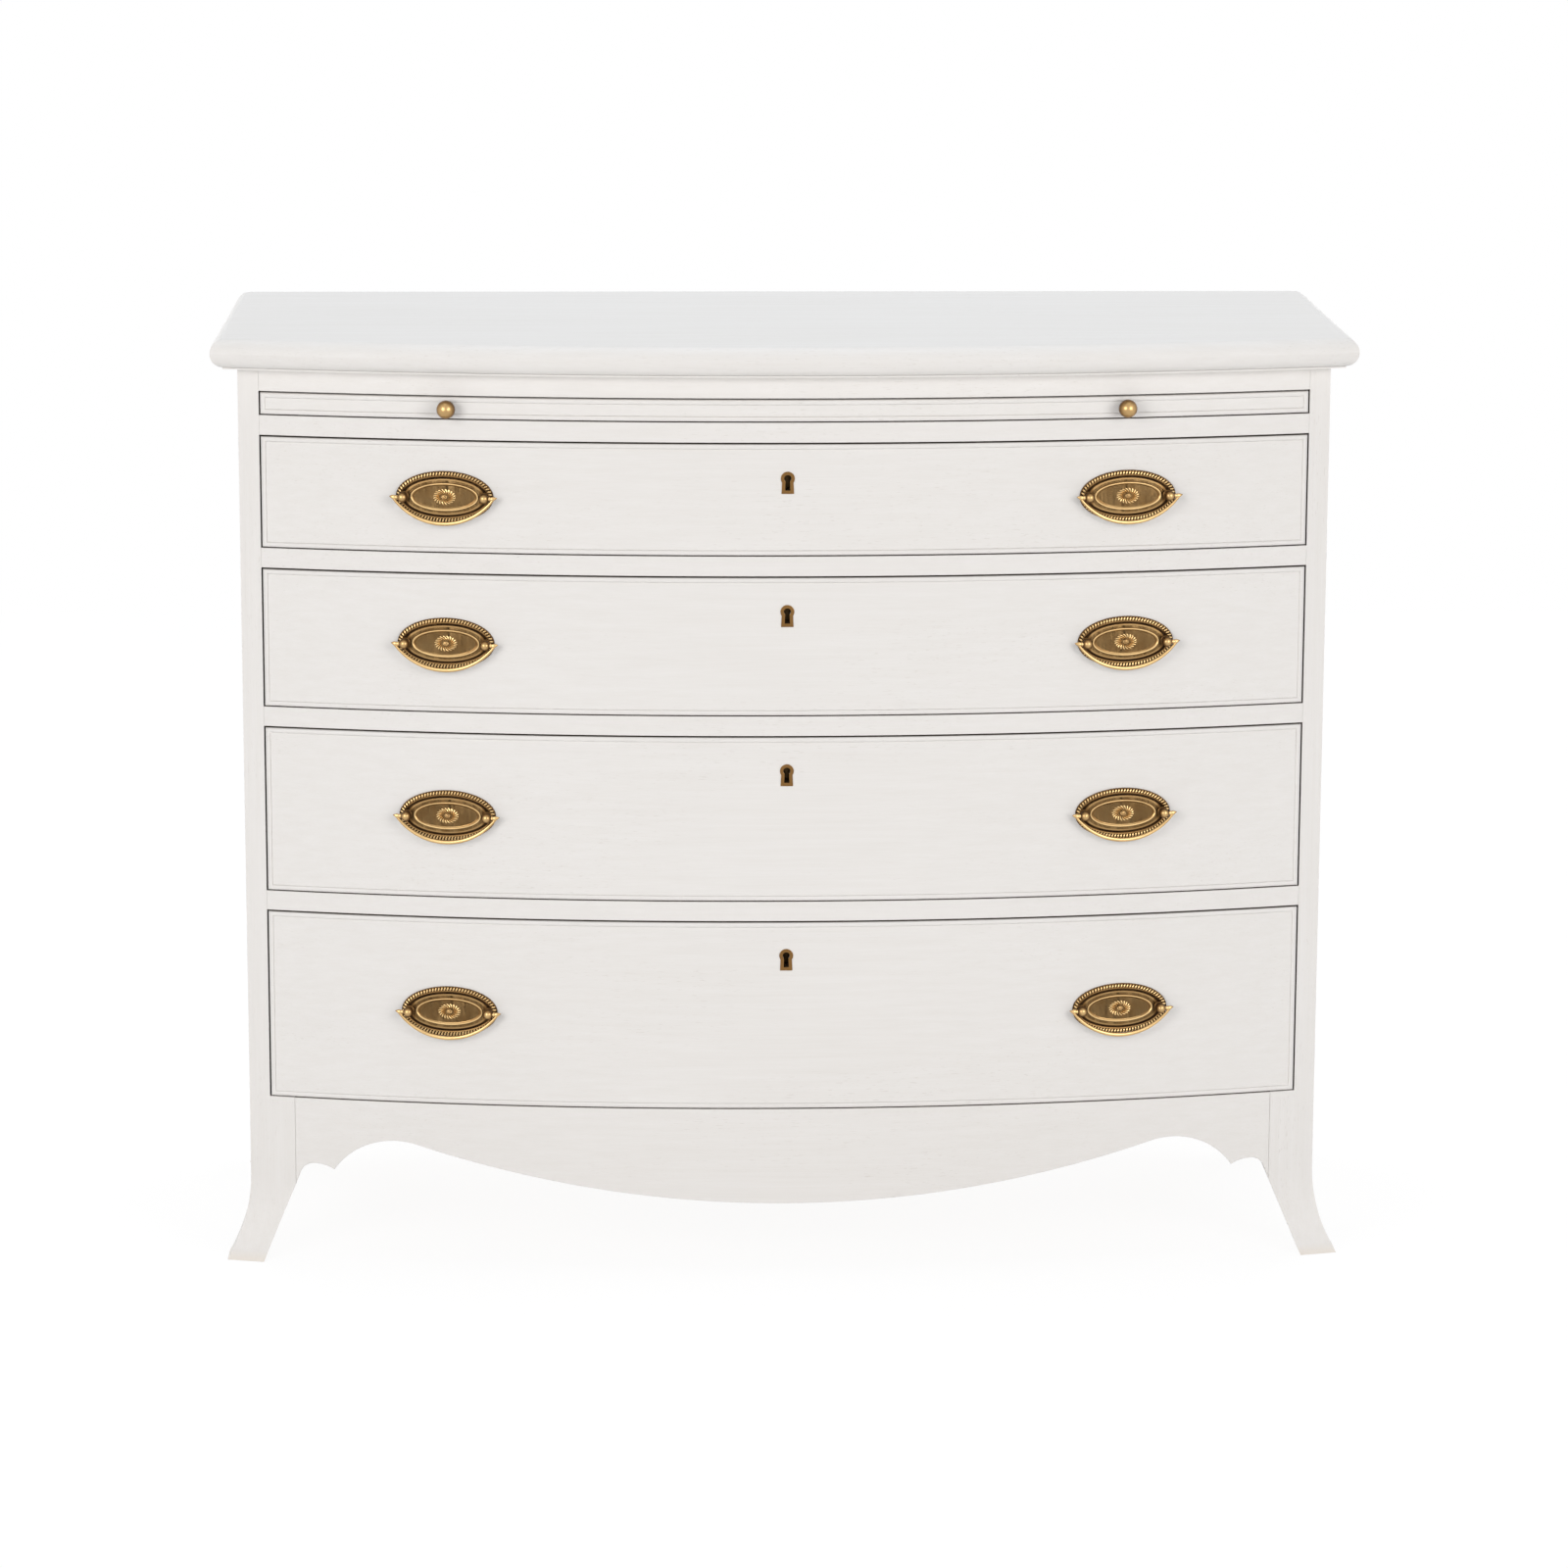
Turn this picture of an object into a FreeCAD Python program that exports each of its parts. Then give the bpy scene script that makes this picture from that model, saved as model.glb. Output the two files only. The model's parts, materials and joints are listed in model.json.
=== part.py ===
"""Bow front chest of drawers: a brushing slide over four graduated drawers, on splayed feet.

Millimetres. X runs to the right, Y to the back and Z up, and the origin is on the floor in the
middle of the box that the chest fills. All the fronts are bent round one upright axis behind
the chest, so their faces lie on one cylinder, the bow. Drawer 1 is the top one.
"""

import FreeCAD, Part
import os
import re
import Sketcher

SIZES = (
    # the case
    ("carcase_width", 1012),            # outside of the side panels
    ("carcase_depth", 421),             # middle of the bow to the back
    ("bow_radius", 2070),               # of the faces of all the fronts
    ("side_thickness", 19.5),           # posts and side panels
    ("base_height", 157),               # floor to the bottom drawer's opening
    ("drawer_1_opening", 105.5),
    ("drawer_2_opening", 131.3),
    ("drawer_3_opening", 157.4),
    ("drawer_4_opening", 181.2),
    ("slide_opening", 22.3),
    ("rail_thickness", 18.5),           # between one opening and the next
    ("rail_depth", 120),                # middle of the bow to the back of the rail
    ("top_rail_height", 20.8),
    ("top_rail_depth", 90),
    ("back_rail_depth", 22),
    # the top
    ("top_thickness", 27),
    ("top_overhang", 24),               # at the front and the sides
    ("back_overhang", 5),
    ("moulding_thickness", 1.5),        # strip under the top
    ("moulding_projection", 13),        # beyond the case
    ("moulding_width", 32.5),
    # the base
    ("foot_width", 43),                 # leg, where it meets the apron and the side panel
    ("foot_toe", 35),                   # foot, on the floor
    ("foot_splay", 22.5),               # outward kick of the foot at the floor
    ("flare_height", 80),               # where the kick starts
    ("foot_inside_height", 72),         # where the inside of the foot meets the apron
    ("apron_thickness", 20),
    ("apron_middle_height", 65),        # lowest point of the apron
    ("arch_height", 119),               # top of each large arch of the apron
    ("arch_radius", 70),
    ("arch_to_foot", 95),               # top of the large arch to the leg
    ("cusp_to_foot", 37),               # point between the large arch and the small one
    ("nook_to_foot", 18),               # top of the small arch to the leg
    ("nook_height", 93.5),
    ("nook_radius", 14),
    ("skirt_rise", 40),                 # radius of the arch ends under a side panel
    ("base_board_thickness", 12),
    ("corner_block_size", 30),
    ("corner_block_length", 44),
    # the back
    ("back_panel_thickness", 6),
    ("back_panel_lap", 10),             # over each back post
    ("back_panel_drop", 35),            # below the bottom drawer's opening
    ("screw_shank_radius", 1.75),
    ("screw_head_radius", 3.5),
    ("screw_length", 20),
    ("screw_edge", 5),                  # from the edge of the back panel
    ("screw_pitch", 160),
    # what the drawers run on
    ("runner_width", 25),
    ("running_clearance", 0.3),
    ("stop_height", 6),
    ("stop_width", 40),
    ("stop_reach", 60),                 # middle of the bow to the back of a stop
    ("stop_spacing", 400),
    ("stop_clearance", 0.3),
    # the fronts
    ("front_thickness", 20),
    ("front_gap_side", 1.5),
    ("front_gap_top", 1.5),
    ("front_gap_bottom", 1.2),
    ("bead_width", 4.5),
    ("bead_depth", 8),
    ("bead_proud", 1.2),
    # the drawers
    ("drawer_side_thickness", 12),
    ("drawer_side_drop", 6),            # below the top of the opening
    ("drawer_back_thickness", 12),
    ("drawer_back_drop", 12),
    ("drawer_back_gap", 15),            # behind a closed drawer
    ("drawer_bottom_thickness", 6),
    ("drawer_bottom_rise", 10),         # above the floor of the opening
    ("groove_depth", 6),
    ("tail_lap", 9.5),                  # from the face of the front to the ends of the tails
    ("tail_wide", 22),
    ("tail_narrow", 14),
    ("tail_pitch", 31),                 # least height of a drawer side for each tail
    # the brushing slide
    ("slide_reach", 330),               # behind its front
    ("slide_top_clearance", 1.0),
    ("knob_spacing", 622),
    ("knob_radius", 8.5),
    ("knob_standoff", 12.5),            # middle of the ball to the front
    ("knob_neck_radius", 3.2),
    ("knob_flange_radius", 4.8),
    ("knob_flange_thickness", 1.5),
    ("knob_spigot_radius", 3),
    ("knob_spigot_length", 12),
    # the locks
    ("lock_width", 64),
    ("lock_height", 56),
    ("lock_thickness", 12),
    ("lock_setback", 12),               # from the face of the front
    ("lock_floor", 6),                  # solid part under the bolt's way
    ("bolt_width", 28),
    ("bolt_thickness", 6),
    ("bolt_height", 26),
    ("bolt_drop", 0.3),                 # below the top of the front
    ("bolt_clearance", 0.3),
    ("mortise_clearance", 1.5),
    ("mortise_depth", 9),
    # the keyholes
    ("keyhole_drop", 31.5),             # round part, below the top of the front
    ("keyhole_radius", 3.25),
    ("keyhole_slot_top", 3.9),
    ("keyhole_slot_bottom", 4.7),
    ("keyhole_slot_length", 10.95),     # below the middle of the round part
    ("escutcheon_radius", 6.4),
    ("escutcheon_waist", 10.5),
    ("escutcheon_base", 11.5),
    ("escutcheon_length", 14.2),        # below the middle of the round part
    ("escutcheon_depth", 4),
    ("escutcheon_proud", 0.8),
    # the handles
    ("handle_spacing", 630),
    ("handle_boring", 76),              # between the two posts of a handle
    ("plate_length", 91),
    ("plate_height", 48),
    ("plate_thickness", 1.2),
    ("rim_width", 5),
    ("rim_thickness", 2.6),
    ("oval_length", 63.6),
    ("oval_height", 26),
    ("oval_width", 2.2),
    ("rosette_length", 23),
    ("rosette_height", 15),
    ("boss_length", 7),
    ("boss_height", 4),
    ("boss_thickness", 3.4),
    ("post_ball_radius", 4.75),
    ("post_stem_radius", 2.5),
    ("post_flange_radius", 4.6),
    ("post_flange_thickness", 1.2),
    ("post_shank_radius", 2),
    ("post_shank_spare", 5),            # beyond the back of the front
    ("post_hole_clearance", 0.2),
    ("nut_radius", 4.6),
    ("nut_thickness", 3.2),
    ("bail_standoff", 8.5),             # its axis, from the face of the front
    ("bail_half_span", 47),
    ("bail_sag", 24),
    ("bail_wire_radius", 2),
    ("bail_collar_radius", 2.2),
    ("bail_end_clearance", 0.25),       # collar to ball
    ("bail_pin_radius", 1.6),
    ("bail_pin_clearance", 0.05),
    ("bail_pin_length", 8),             # inside the ball
)

V = FreeCAD.Vector
AXES = {"x": V(1, 0, 0), "y": V(0, 1, 0), "z": V(0, 0, 1)}
FULL_TURN = 360
# turns that lay a sketch, or point a cylinder, the right way
FRONT_VIEW = FreeCAD.Rotation(V(1, 0, 0), 90)       # sketch x and y run along X and Z
SIDE_VIEW = FreeCAD.Rotation(V(1, 1, 1), 120)       # sketch x and y run along Y and Z
PLAN_VIEW = FreeCAD.Rotation()                      # sketch x and y run along X and Y
POINTING = {
    "x": FreeCAD.Rotation(V(0, 1, 0), 90),
    "y": FreeCAD.Rotation(V(1, 0, 0), -90),
    "z": FreeCAD.Rotation(),
}

doc = FreeCAD.newDocument("bow_front_chest")
sizes = doc.addObject("Spreadsheet::Sheet", "Sizes")
for row, (alias, size) in enumerate(SIZES, start=1):
    sizes.set(f"A{row}", str(size))
    sizes.setAlias(f"A{row}", alias)
doc.recompute()
nodes = []


# ---- expressions on the sheet ----

def on_sheet(expression):
    """Name the sheet in front of each alias, which is a word with an underscore."""
    return re.sub(r"[a-z]+(?:_[a-z0-9]+)+", r"Sizes.\g<0>", str(expression))


def value(expression):
    """What an expression comes to with the sizes as they are."""
    found = sizes.evalExpression(on_sheet(expression))
    return getattr(found, "Value", found)


def bind(thing, field, expression):
    thing.setExpression(field, on_sheet(expression))


def place(thing, x=0, y=0, z=0):
    for axis, expression in zip("xyz", (x, y, z)):
        bind(thing, f"Placement.Base.{axis}", expression)
    return thing


def both(reach):
    """A span that reaches as far to the left as to the right."""
    return (f"-({reach})", reach)


# ---- building blocks ----

def box(name, x, y, z):
    """A board that fills three spans."""
    made = doc.addObject("Part::Box", name)
    for field, (low, high) in zip(("Length", "Width", "Height"), (x, y, z)):
        bind(made, field, f"({high}) - ({low})")
    return place(made, x[0], y[0], z[0])


def rod(name, radius, along, span, **middle):
    """A cylinder along an axis, over a span of it."""
    made = doc.addObject("Part::Cylinder", name)
    made.Placement = FreeCAD.Placement(V(), POINTING[along])
    bind(made, "Radius", radius)
    bind(made, "Height", f"({span[1]}) - ({span[0]})")
    middle[along] = span[0]
    return place(made, **middle)


def middle_of_arc(start, end, radius, side):
    """The point halfway round an arc that bulges to one side of the way from start to end."""
    chord = end - start
    bulge = V(-chord.y, chord.x, 0).normalize() * (1 if side == "left" else -1)
    depth = radius - max(radius ** 2 - chord.Length ** 2 / 4, 0) ** 0.5
    return (start + end) / 2 + bulge * depth


def end_at(sketch, edge, point):
    """Which end of a sketch's edge lies at a point, 1 or 2."""
    gaps = {end: sketch.getPoint(edge, end).distanceToPoint(point) for end in (1, 2)}
    return min(gaps, key=gaps.get)


def is_arc(corner):
    """Whether a corner has a radius and a side after its x and y."""
    return bool(corner[2:])


def outline(name, view, corners):
    """A closed sketch through corners, counter-clockwise.

    A corner is (x, y), with a straight run to the next one, or (x, y, radius, side), with an
    arc to the next one that bulges to the left or right of the way there.
    """
    sketch = doc.addObject("Sketcher::SketchObject", name)
    sketch.Placement = FreeCAD.Placement(V(), view)
    points = [V(value(corner[0]), value(corner[1]), 0) for corner in corners]
    following = points[1:] + points[:1]
    for here, there, corner in zip(points, following, corners):
        edge = Part.LineSegment(here, there)
        if is_arc(corner):
            edge = Part.Arc(here, middle_of_arc(here, there, value(corner[2]), corner[3]), there)
        sketch.addGeometry(edge)
    for edge, (here, there, corner) in enumerate(zip(points, following, corners)):
        after = (edge + 1) % len(corners)
        joint = (edge, end_at(sketch, edge, there), after, end_at(sketch, after, there))
        sketch.addConstraint(Sketcher.Constraint("Coincident", *joint))
        start = (-1, 1, edge, end_at(sketch, edge, here))
        for kind, size, expression in (("DistanceX", here.x, corner[0]),
                                       ("DistanceY", here.y, corner[1])):
            index = sketch.addConstraint(Sketcher.Constraint(kind, *start, size))
            bind(sketch, f"Constraints[{index}]", expression)
        if is_arc(corner):
            bend_size = Sketcher.Constraint("Radius", edge, value(corner[2]))
            index = sketch.addConstraint(bend_size)
            bind(sketch, f"Constraints[{index}]", corner[2])
    return sketch


def mirrored(corners):
    """Corners right of the middle, repeated on the left of it and travelled back to it."""
    left = []
    for after, before in zip(corners[:0:-1], corners[-2::-1]):
        left.append((f"-({after[0]})", after[1]) + before[2:])
    return left


def extrude(name, base, axis, span):
    place(base, **{axis: span[0]})
    made = doc.addObject("Part::Extrusion", name)
    made.Base = base
    made.DirMode = "Custom"
    made.Dir = AXES[axis]
    made.Solid = True
    bind(made, "LengthFwd", f"({span[1]}) - ({span[0]})")
    return made


def turn(name, sketch, axis, y=0):
    """A full turn of a sketch round an axis that passes through the middle, y back."""
    made = doc.addObject("Part::Revolution", name)
    made.Source = sketch
    made.Axis = AXES[axis]
    made.Angle = FULL_TURN
    made.Solid = True
    bind(made, "Base.y", y)
    return made


def oval(name, length, height, span):
    """An elliptical disc that faces forward."""
    edge = doc.addObject("Part::Ellipse", name + "_edge")
    edge.Placement = FreeCAD.Placement(V(), FRONT_VIEW)
    bind(edge, "MajorRadius", f"({length}) / 2")
    bind(edge, "MinorRadius", f"({height}) / 2")
    return extrude(name, edge, "y", span)


def fuse(name, *shapes):
    made = doc.addObject("Part::MultiFuse", name)
    made.Shapes = shapes
    made.Refine = True
    return made


def common(name, *shapes):
    made = doc.addObject("Part::MultiCommon", name)
    made.Shapes = shapes
    made.Refine = True
    return made


def cut(name, base, *tools):
    made = doc.addObject("Part::Cut", name)
    made.Base = base
    made.Tool = tools[0] if len(tools) == 1 else fuse(name + "_tools", *tools)
    made.Refine = True
    return made


def mirror(name, source):
    """The same shape on the other side of the middle."""
    made = doc.addObject("Part::Mirroring", name)
    made.Source = source
    made.Normal = AXES["x"]
    return made


def group(name, *solids):
    """Separate solids that share one node."""
    made = doc.addObject("Part::Compound", name)
    made.Links = solids
    return made


def node(made, name):
    """Name a finished sub-part."""
    made.Label = name
    nodes.append(made)
    return made


# ---- where things are ----

FRONT = "((top_overhang - carcase_depth - back_overhang) / 2)"
BACK = "((top_overhang + carcase_depth - back_overhang) / 2)"
PANEL_FACE = f"({BACK} - back_panel_thickness)"
BOW_AXIS = f"({FRONT} + bow_radius)"
CASE_SIDE = "(carcase_width / 2)"
OPENING_SIDE = f"({CASE_SIDE} - side_thickness)"
FRONT_SIDE = f"({OPENING_SIDE} - front_gap_side)"
DRAWER_INSIDE = f"({FRONT_SIDE} - drawer_side_thickness)"
FOOT_INSIDE = f"({CASE_SIDE} - foot_width)"
TOE_INSIDE = f"({CASE_SIDE} + foot_splay - foot_toe)"
DRAWER_BACK = f"({PANEL_FACE} - drawer_back_gap)"
SLIDE_BACK = f"({FRONT} + front_thickness + slide_reach)"
# each drawer has its opening in the sheet
DRAWERS = [int(level) for level in re.findall(r"drawer_(\d)_opening", str(SIZES))]


def bow_at(x, behind=0):
    """Where the bow, or a face some way behind it, is at a distance from the middle."""
    return f"({BOW_AXIS} - sqrt((bow_radius - ({behind})) ^ 2 - ({x}) ^ 2))"


def floor_of(level):
    """Height of an opening's floor: the base, and each opening and rail below it."""
    below = [f"drawer_{lower}_opening + rail_thickness" for lower in DRAWERS if lower > level]
    return "(" + " + ".join(["base_height"] + below) + ")"


CORNER = bow_at(CASE_SIDE)
SLIDE = 0                                           # the level above drawer 1
SLIDE_CEILING = f"({floor_of(SLIDE)} + slide_opening)"
CASE_TOP = f"({SLIDE_CEILING} + top_rail_height)"
TOP_UNDERSIDE = f"({CASE_TOP} + moulding_thickness)"
BOARD_UNDERSIDE = "(base_height - base_board_thickness)"
PIN_END = "(handle_boring / 2 + post_ball_radius - bail_pin_length)"
# back of a front where a nut's far edge touches it, behind the middle of the handle
NUT_SEAT = ("(bow_radius - sqrt((bow_radius - front_thickness) ^ 2"
            " - (handle_boring / 2 + nut_radius) ^ 2))")
DEPTH = (f"{FRONT} - 2 * top_overhang", BACK)       # from well before the bow to the back


def bow(name, behind, z):
    """An upright cylinder on the bow's axis, with its surface some way behind the fronts."""
    return rod(name, f"bow_radius - ({behind})", "z", z, y=BOW_AXIS)


def bent(name, board, z, thickness, behind=0):
    """What a board holds of a shell that is bent to the bow."""
    face = bow(name + "_face", behind, z)
    hollow = bow(name + "_hollow", f"{behind} + {thickness}", z)
    return common(name, board, cut(name + "_shell", face, hollow))


# ---- the case ----

def make_legs(screws):
    """Four posts that run from the floor to the top and kick outwards at the foot."""
    flare = "((flare_height ^ 2 + foot_splay ^ 2) / (2 * foot_splay))"
    from_front = outline("leg_from_the_front", FRONT_VIEW, [
        (OPENING_SIDE, CASE_TOP),
        (OPENING_SIDE, "base_height"),
        (FOOT_INSIDE, "base_height"),
        (FOOT_INSIDE, "foot_inside_height"),
        (TOE_INSIDE, 0),
        (f"{CASE_SIDE} + foot_splay", 0, flare, "left"),
        (CASE_SIDE, "flare_height"),
        (CASE_SIDE, CASE_TOP),
    ])
    side_profile = extrude("leg_outline", from_front, "y", DEPTH)
    swept_face = turn("kicked_bow", outline("kicked_bow_section", SIDE_VIEW, [
        (f"{FRONT} - foot_splay", 0),
        (BACK, 0),
        (BACK, CASE_TOP),
        (FRONT, CASE_TOP),
        (FRONT, "flare_height", flare, "left"),
    ]), "z", y=BOW_AXIS)
    ahead = DEPTH[0]
    front_depth = outline("front_leg_from_the_side", SIDE_VIEW, [
        (ahead, 0),
        (f"{CORNER} - foot_splay + foot_toe", 0),
        (f"{CORNER} + foot_width", "foot_inside_height"),
        (f"{CORNER} + foot_width", CASE_TOP),
        (ahead, CASE_TOP),
    ])
    back_depth = outline("back_leg_from_the_side", SIDE_VIEW, [
        (f"{BACK} - foot_toe", 0),
        (BACK, 0),
        (BACK, CASE_TOP),
        (f"{BACK} - foot_width", CASE_TOP),
        (f"{BACK} - foot_width", "foot_inside_height"),
    ])
    width = (0, f"{CASE_SIDE} + 2 * foot_splay")
    front = common("front_right_leg", side_profile, swept_face,
                   extrude("front_leg_depth", front_depth, "x", width))
    back = cut("back_right_leg",
               common("back_post", side_profile, extrude("back_leg_depth", back_depth, "x", width)),
               box("panel_rebate", (0, f"{OPENING_SIDE} + back_panel_lap"), (PANEL_FACE, BACK),
                   ("base_height - back_panel_drop", CASE_TOP)),
               group("screw_holes_in_posts", *screws))
    legs = [node(front, "front_right_leg"), node(back, "back_right_leg")]
    for leg, name in ((front, "front_left_leg"), (back, "back_left_leg")):
        legs.append(node(mirror(name, leg), name))
    return legs


def make_side_panels():
    near, far = f"{CORNER} + foot_width", f"{BACK} - foot_width"
    skirt = "foot_inside_height + skirt_rise"
    profile = outline("side_panel_outline", SIDE_VIEW, [
        (near, "foot_inside_height", "skirt_rise", "left"),
        (f"{near} + skirt_rise", skirt),
        (f"{far} - skirt_rise", skirt, "skirt_rise", "left"),
        (far, "foot_inside_height"),
        (far, CASE_TOP),
        (near, CASE_TOP),
    ])
    right = extrude("right_side_panel", profile, "x", (OPENING_SIDE, CASE_SIDE))
    node(right, "right_side_panel")
    node(mirror("left_side_panel", right), "left_side_panel")


def lock_span(clearance=0):
    """Where the bolts are from front to back, with room before and behind them."""
    room = f"(bolt_thickness / 2 + {clearance})"
    middle = f"{FRONT} + lock_setback + lock_thickness / 2"
    return (f"{middle} - {room}", f"{middle} + {room}")


def make_rails(screws):
    """The top rails, and a rail over each drawer with a mortise for the drawer's bolt."""
    z = (SLIDE_CEILING, CASE_TOP)
    front = common("front_top_rail",
                   box("front_top_rail_blank", both(OPENING_SIDE),
                       (DEPTH[0], f"{FRONT} + top_rail_depth"), z),
                   bow("front_top_rail_face", 0, z))
    back = cut("back_top_rail",
               box("back_top_rail_blank", both(OPENING_SIDE),
                   (f"{PANEL_FACE} - back_rail_depth", PANEL_FACE), z),
               group("screw_holes_in_rail", *screws))
    node(group("top_rails", front, back), "top_rails")
    rails = []
    for level in DRAWERS:
        ceiling, top = f"{floor_of(level)} + drawer_{level}_opening", floor_of(level - 1)
        blank = box("rail_blank", both(OPENING_SIDE), (DEPTH[0], f"{FRONT} + rail_depth"),
                    (ceiling, top))
        mortise = box("bolt_mortise", both("bolt_width / 2 + mortise_clearance"),
                      lock_span("mortise_clearance"), (ceiling, f"{ceiling} + mortise_depth"))
        rails.append(cut("rail", common("rail_bowed", blank, bow("rail_face", 0, (ceiling, top))),
                         mortise))
    node(group("drawer_rails", *rails), "drawer_rails")


def make_apron():
    """The shaped rail between the front feet: a hanging lobe between two arches."""
    arch = f"({FOOT_INSIDE} - arch_to_foot)"
    angle = f"(2 * atan((arch_height - apron_middle_height) / {arch}))"
    lobe = f"({arch} / sin({angle}) - arch_radius)"
    cusp_height = ("(arch_height - arch_radius"
                   " + sqrt(arch_radius ^ 2 - (arch_to_foot - cusp_to_foot) ^ 2))")
    step = f"(nook_height - {cusp_height})"
    step_radius = f"(((cusp_to_foot - nook_to_foot) ^ 2 + {step} ^ 2) / (2 * {step}))"
    lean = "(atan((foot_splay - foot_toe + foot_width) / foot_inside_height))"
    right = [
        (0, "apron_middle_height", lobe, "right"),
        (f"{lobe} * sin({angle})", f"apron_middle_height + {lobe} * (1 - cos({angle}))",
         "arch_radius", "left"),
        (arch, "arch_height", "arch_radius", "left"),
        (f"{FOOT_INSIDE} - cusp_to_foot", cusp_height, step_radius, "left"),
        (f"{FOOT_INSIDE} - nook_to_foot", "nook_height", "nook_radius", "left"),
        (f"{FOOT_INSIDE} - nook_to_foot + nook_radius * cos({lean})",
         f"nook_height - nook_radius * (1 - sin({lean}))"),
        (FOOT_INSIDE, "foot_inside_height"),
        (FOOT_INSIDE, "base_height"),
    ]
    profile = outline("apron_outline", FRONT_VIEW, right + mirrored(right))
    node(bent("front_apron", extrude("apron_blank", profile, "y", DEPTH), (0, "base_height"),
              "apron_thickness"), "front_apron")


def make_bottom_board(legs, screws):
    z = (BOARD_UNDERSIDE, "base_height")
    blank = box("bottom_board_blank", both(OPENING_SIDE), (DEPTH[0], PANEL_FACE), z)
    bowed = common("bottom_board_bowed", blank, bow("bottom_board_face", "apron_thickness", z))
    node(cut("bottom_board", bowed, *legs, *screws), "bottom_board")


def make_corner_blocks():
    """Glue blocks that hold the legs to the apron, the back and the bottom board."""
    x = (f"{FOOT_INSIDE} - corner_block_size", FOOT_INSIDE)
    z = (f"{BOARD_UNDERSIDE} - corner_block_length", BOARD_UNDERSIDE)
    front = common("front_block",
                   box("front_block_blank", x, (DEPTH[0], f"{CORNER} + foot_width"), z),
                   bow("front_block_face", "apron_thickness", z))
    back = box("back_block", x, (f"{PANEL_FACE} - corner_block_size", PANEL_FACE), z)
    blocks = [front, back, mirror("left_front_block", front), mirror("left_back_block", back)]
    node(group("corner_blocks", *blocks), "corner_blocks")


def make_screw(x, z):
    """A countersunk screw through the back panel."""
    section = outline("screw_section", PLAN_VIEW, [
        (0, "-screw_length"),
        ("screw_shank_radius", "-screw_length"),
        ("screw_shank_radius", "screw_shank_radius - screw_head_radius"),
        ("screw_head_radius", 0),
        (0, 0),
    ])
    return place(turn("screw", section, "y"), x, BACK, z)


def make_screws():
    """Screws up each side of the back panel, and along its top and bottom."""
    edge = f"({OPENING_SIDE} + back_panel_lap - screw_edge)"
    low, high = f"({BOARD_UNDERSIDE} + base_board_thickness / 2)", f"({CASE_TOP} - screw_edge)"
    spots = []
    rows = max(round(value(f"({high} - {low}) / screw_pitch")), 1)
    for step in range(rows + 1):
        height = f"{low} + ({high} - {low}) * {step} / {rows}"
        spots += [(edge, height), (f"-{edge}", height)]
    columns = max(round(value(f"2 * {edge} / screw_pitch")), 1)
    for step in range(1, columns):
        across = f"{edge} * ({2 * step} / {columns} - 1)"
        spots += [(across, low), (across, high)]
    return [make_screw(x, z) for x, z in spots]


def make_back_panel(screws):
    blank = box("back_panel_blank", both(f"{OPENING_SIDE} + back_panel_lap"), (PANEL_FACE, BACK),
                ("base_height - back_panel_drop", CASE_TOP))
    node(cut("back_panel", blank, group("screw_holes_in_panel", *screws)), "back_panel")
    node(group("back_screws", *screws), "back_screws")


def make_runners():
    """Runners level with the rails, and kickers over the slide."""
    x = (f"{OPENING_SIDE} - runner_width", OPENING_SIDE)
    right = [box("kicker", x,
                 (f"{FRONT} + top_rail_depth", f"{PANEL_FACE} - back_rail_depth"),
                 (SLIDE_CEILING, CASE_TOP))]
    for level in [SLIDE] + DRAWERS[:-1]:
        floor = floor_of(level)
        right.append(box("runner", x, (f"{FRONT} + rail_depth", PANEL_FACE),
                         (f"{floor} - rail_thickness", floor)))
    left = [mirror("left_runner", runner) for runner in right]
    node(group("drawer_runners", *right, *left), "drawer_runners")


def make_stops():
    """Blocks on the rails that stop each front flush with the case, and two for the slide."""
    right = []
    for level in DRAWERS:
        z = (floor_of(level), f"{floor_of(level)} + stop_height")
        x = ("(stop_spacing - stop_width) / 2", "(stop_spacing + stop_width) / 2")
        blank = box("stop_blank", x, (DEPTH[0], f"{FRONT} + stop_reach"), z)
        right.append(common("stop", blank,
                            bow("stop_face", "front_thickness + stop_clearance", z)))
    right.append(box("slide_stop", (f"{OPENING_SIDE} - runner_width", OPENING_SIDE),
                     (f"{SLIDE_BACK} + stop_clearance", f"{SLIDE_BACK} + stop_width"),
                     (floor_of(SLIDE), f"{floor_of(SLIDE)} + stop_height")))
    left = [mirror("left_stop", stop) for stop in right]
    node(group("drawer_stops", *right, *left), "drawer_stops")


# ---- the top ----

def make_top():
    """A board whose front and sides are rounded over their whole thickness."""
    nose = "(top_thickness / 2)"
    z = (TOP_UNDERSIDE, f"({TOP_UNDERSIDE} + {nose})", f"({TOP_UNDERSIDE} + top_thickness)")
    side = f"({CASE_SIDE} + top_overhang)"
    section = outline("top_section", FRONT_VIEW, [
        (f"{nose} - {side}", z[0]),
        (f"{side} - {nose}", z[0], nose, "right"),
        (side, z[1], nose, "right"),
        (f"{side} - {nose}", z[2]),
        (f"{nose} - {side}", z[2], nose, "right"),
        (f"-{side}", z[1], nose, "right"),
    ])
    edge = f"({FRONT} - top_overhang)"
    beyond = f"({BACK} + carcase_depth)"
    bowed = turn("top_bow", outline("top_bow_section", SIDE_VIEW, [
        (edge, z[1], nose, "right"),
        (f"{edge} + {nose}", z[0]),
        (beyond, z[0]),
        (beyond, z[2]),
        (f"{edge} + {nose}", z[2], nose, "right"),
    ]), "z", y=BOW_AXIS)
    board = extrude("top_blank", section, "y", (DEPTH[0], f"{BACK} + back_overhang"))
    node(common("top_board", board, bowed), "top_board")


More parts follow.
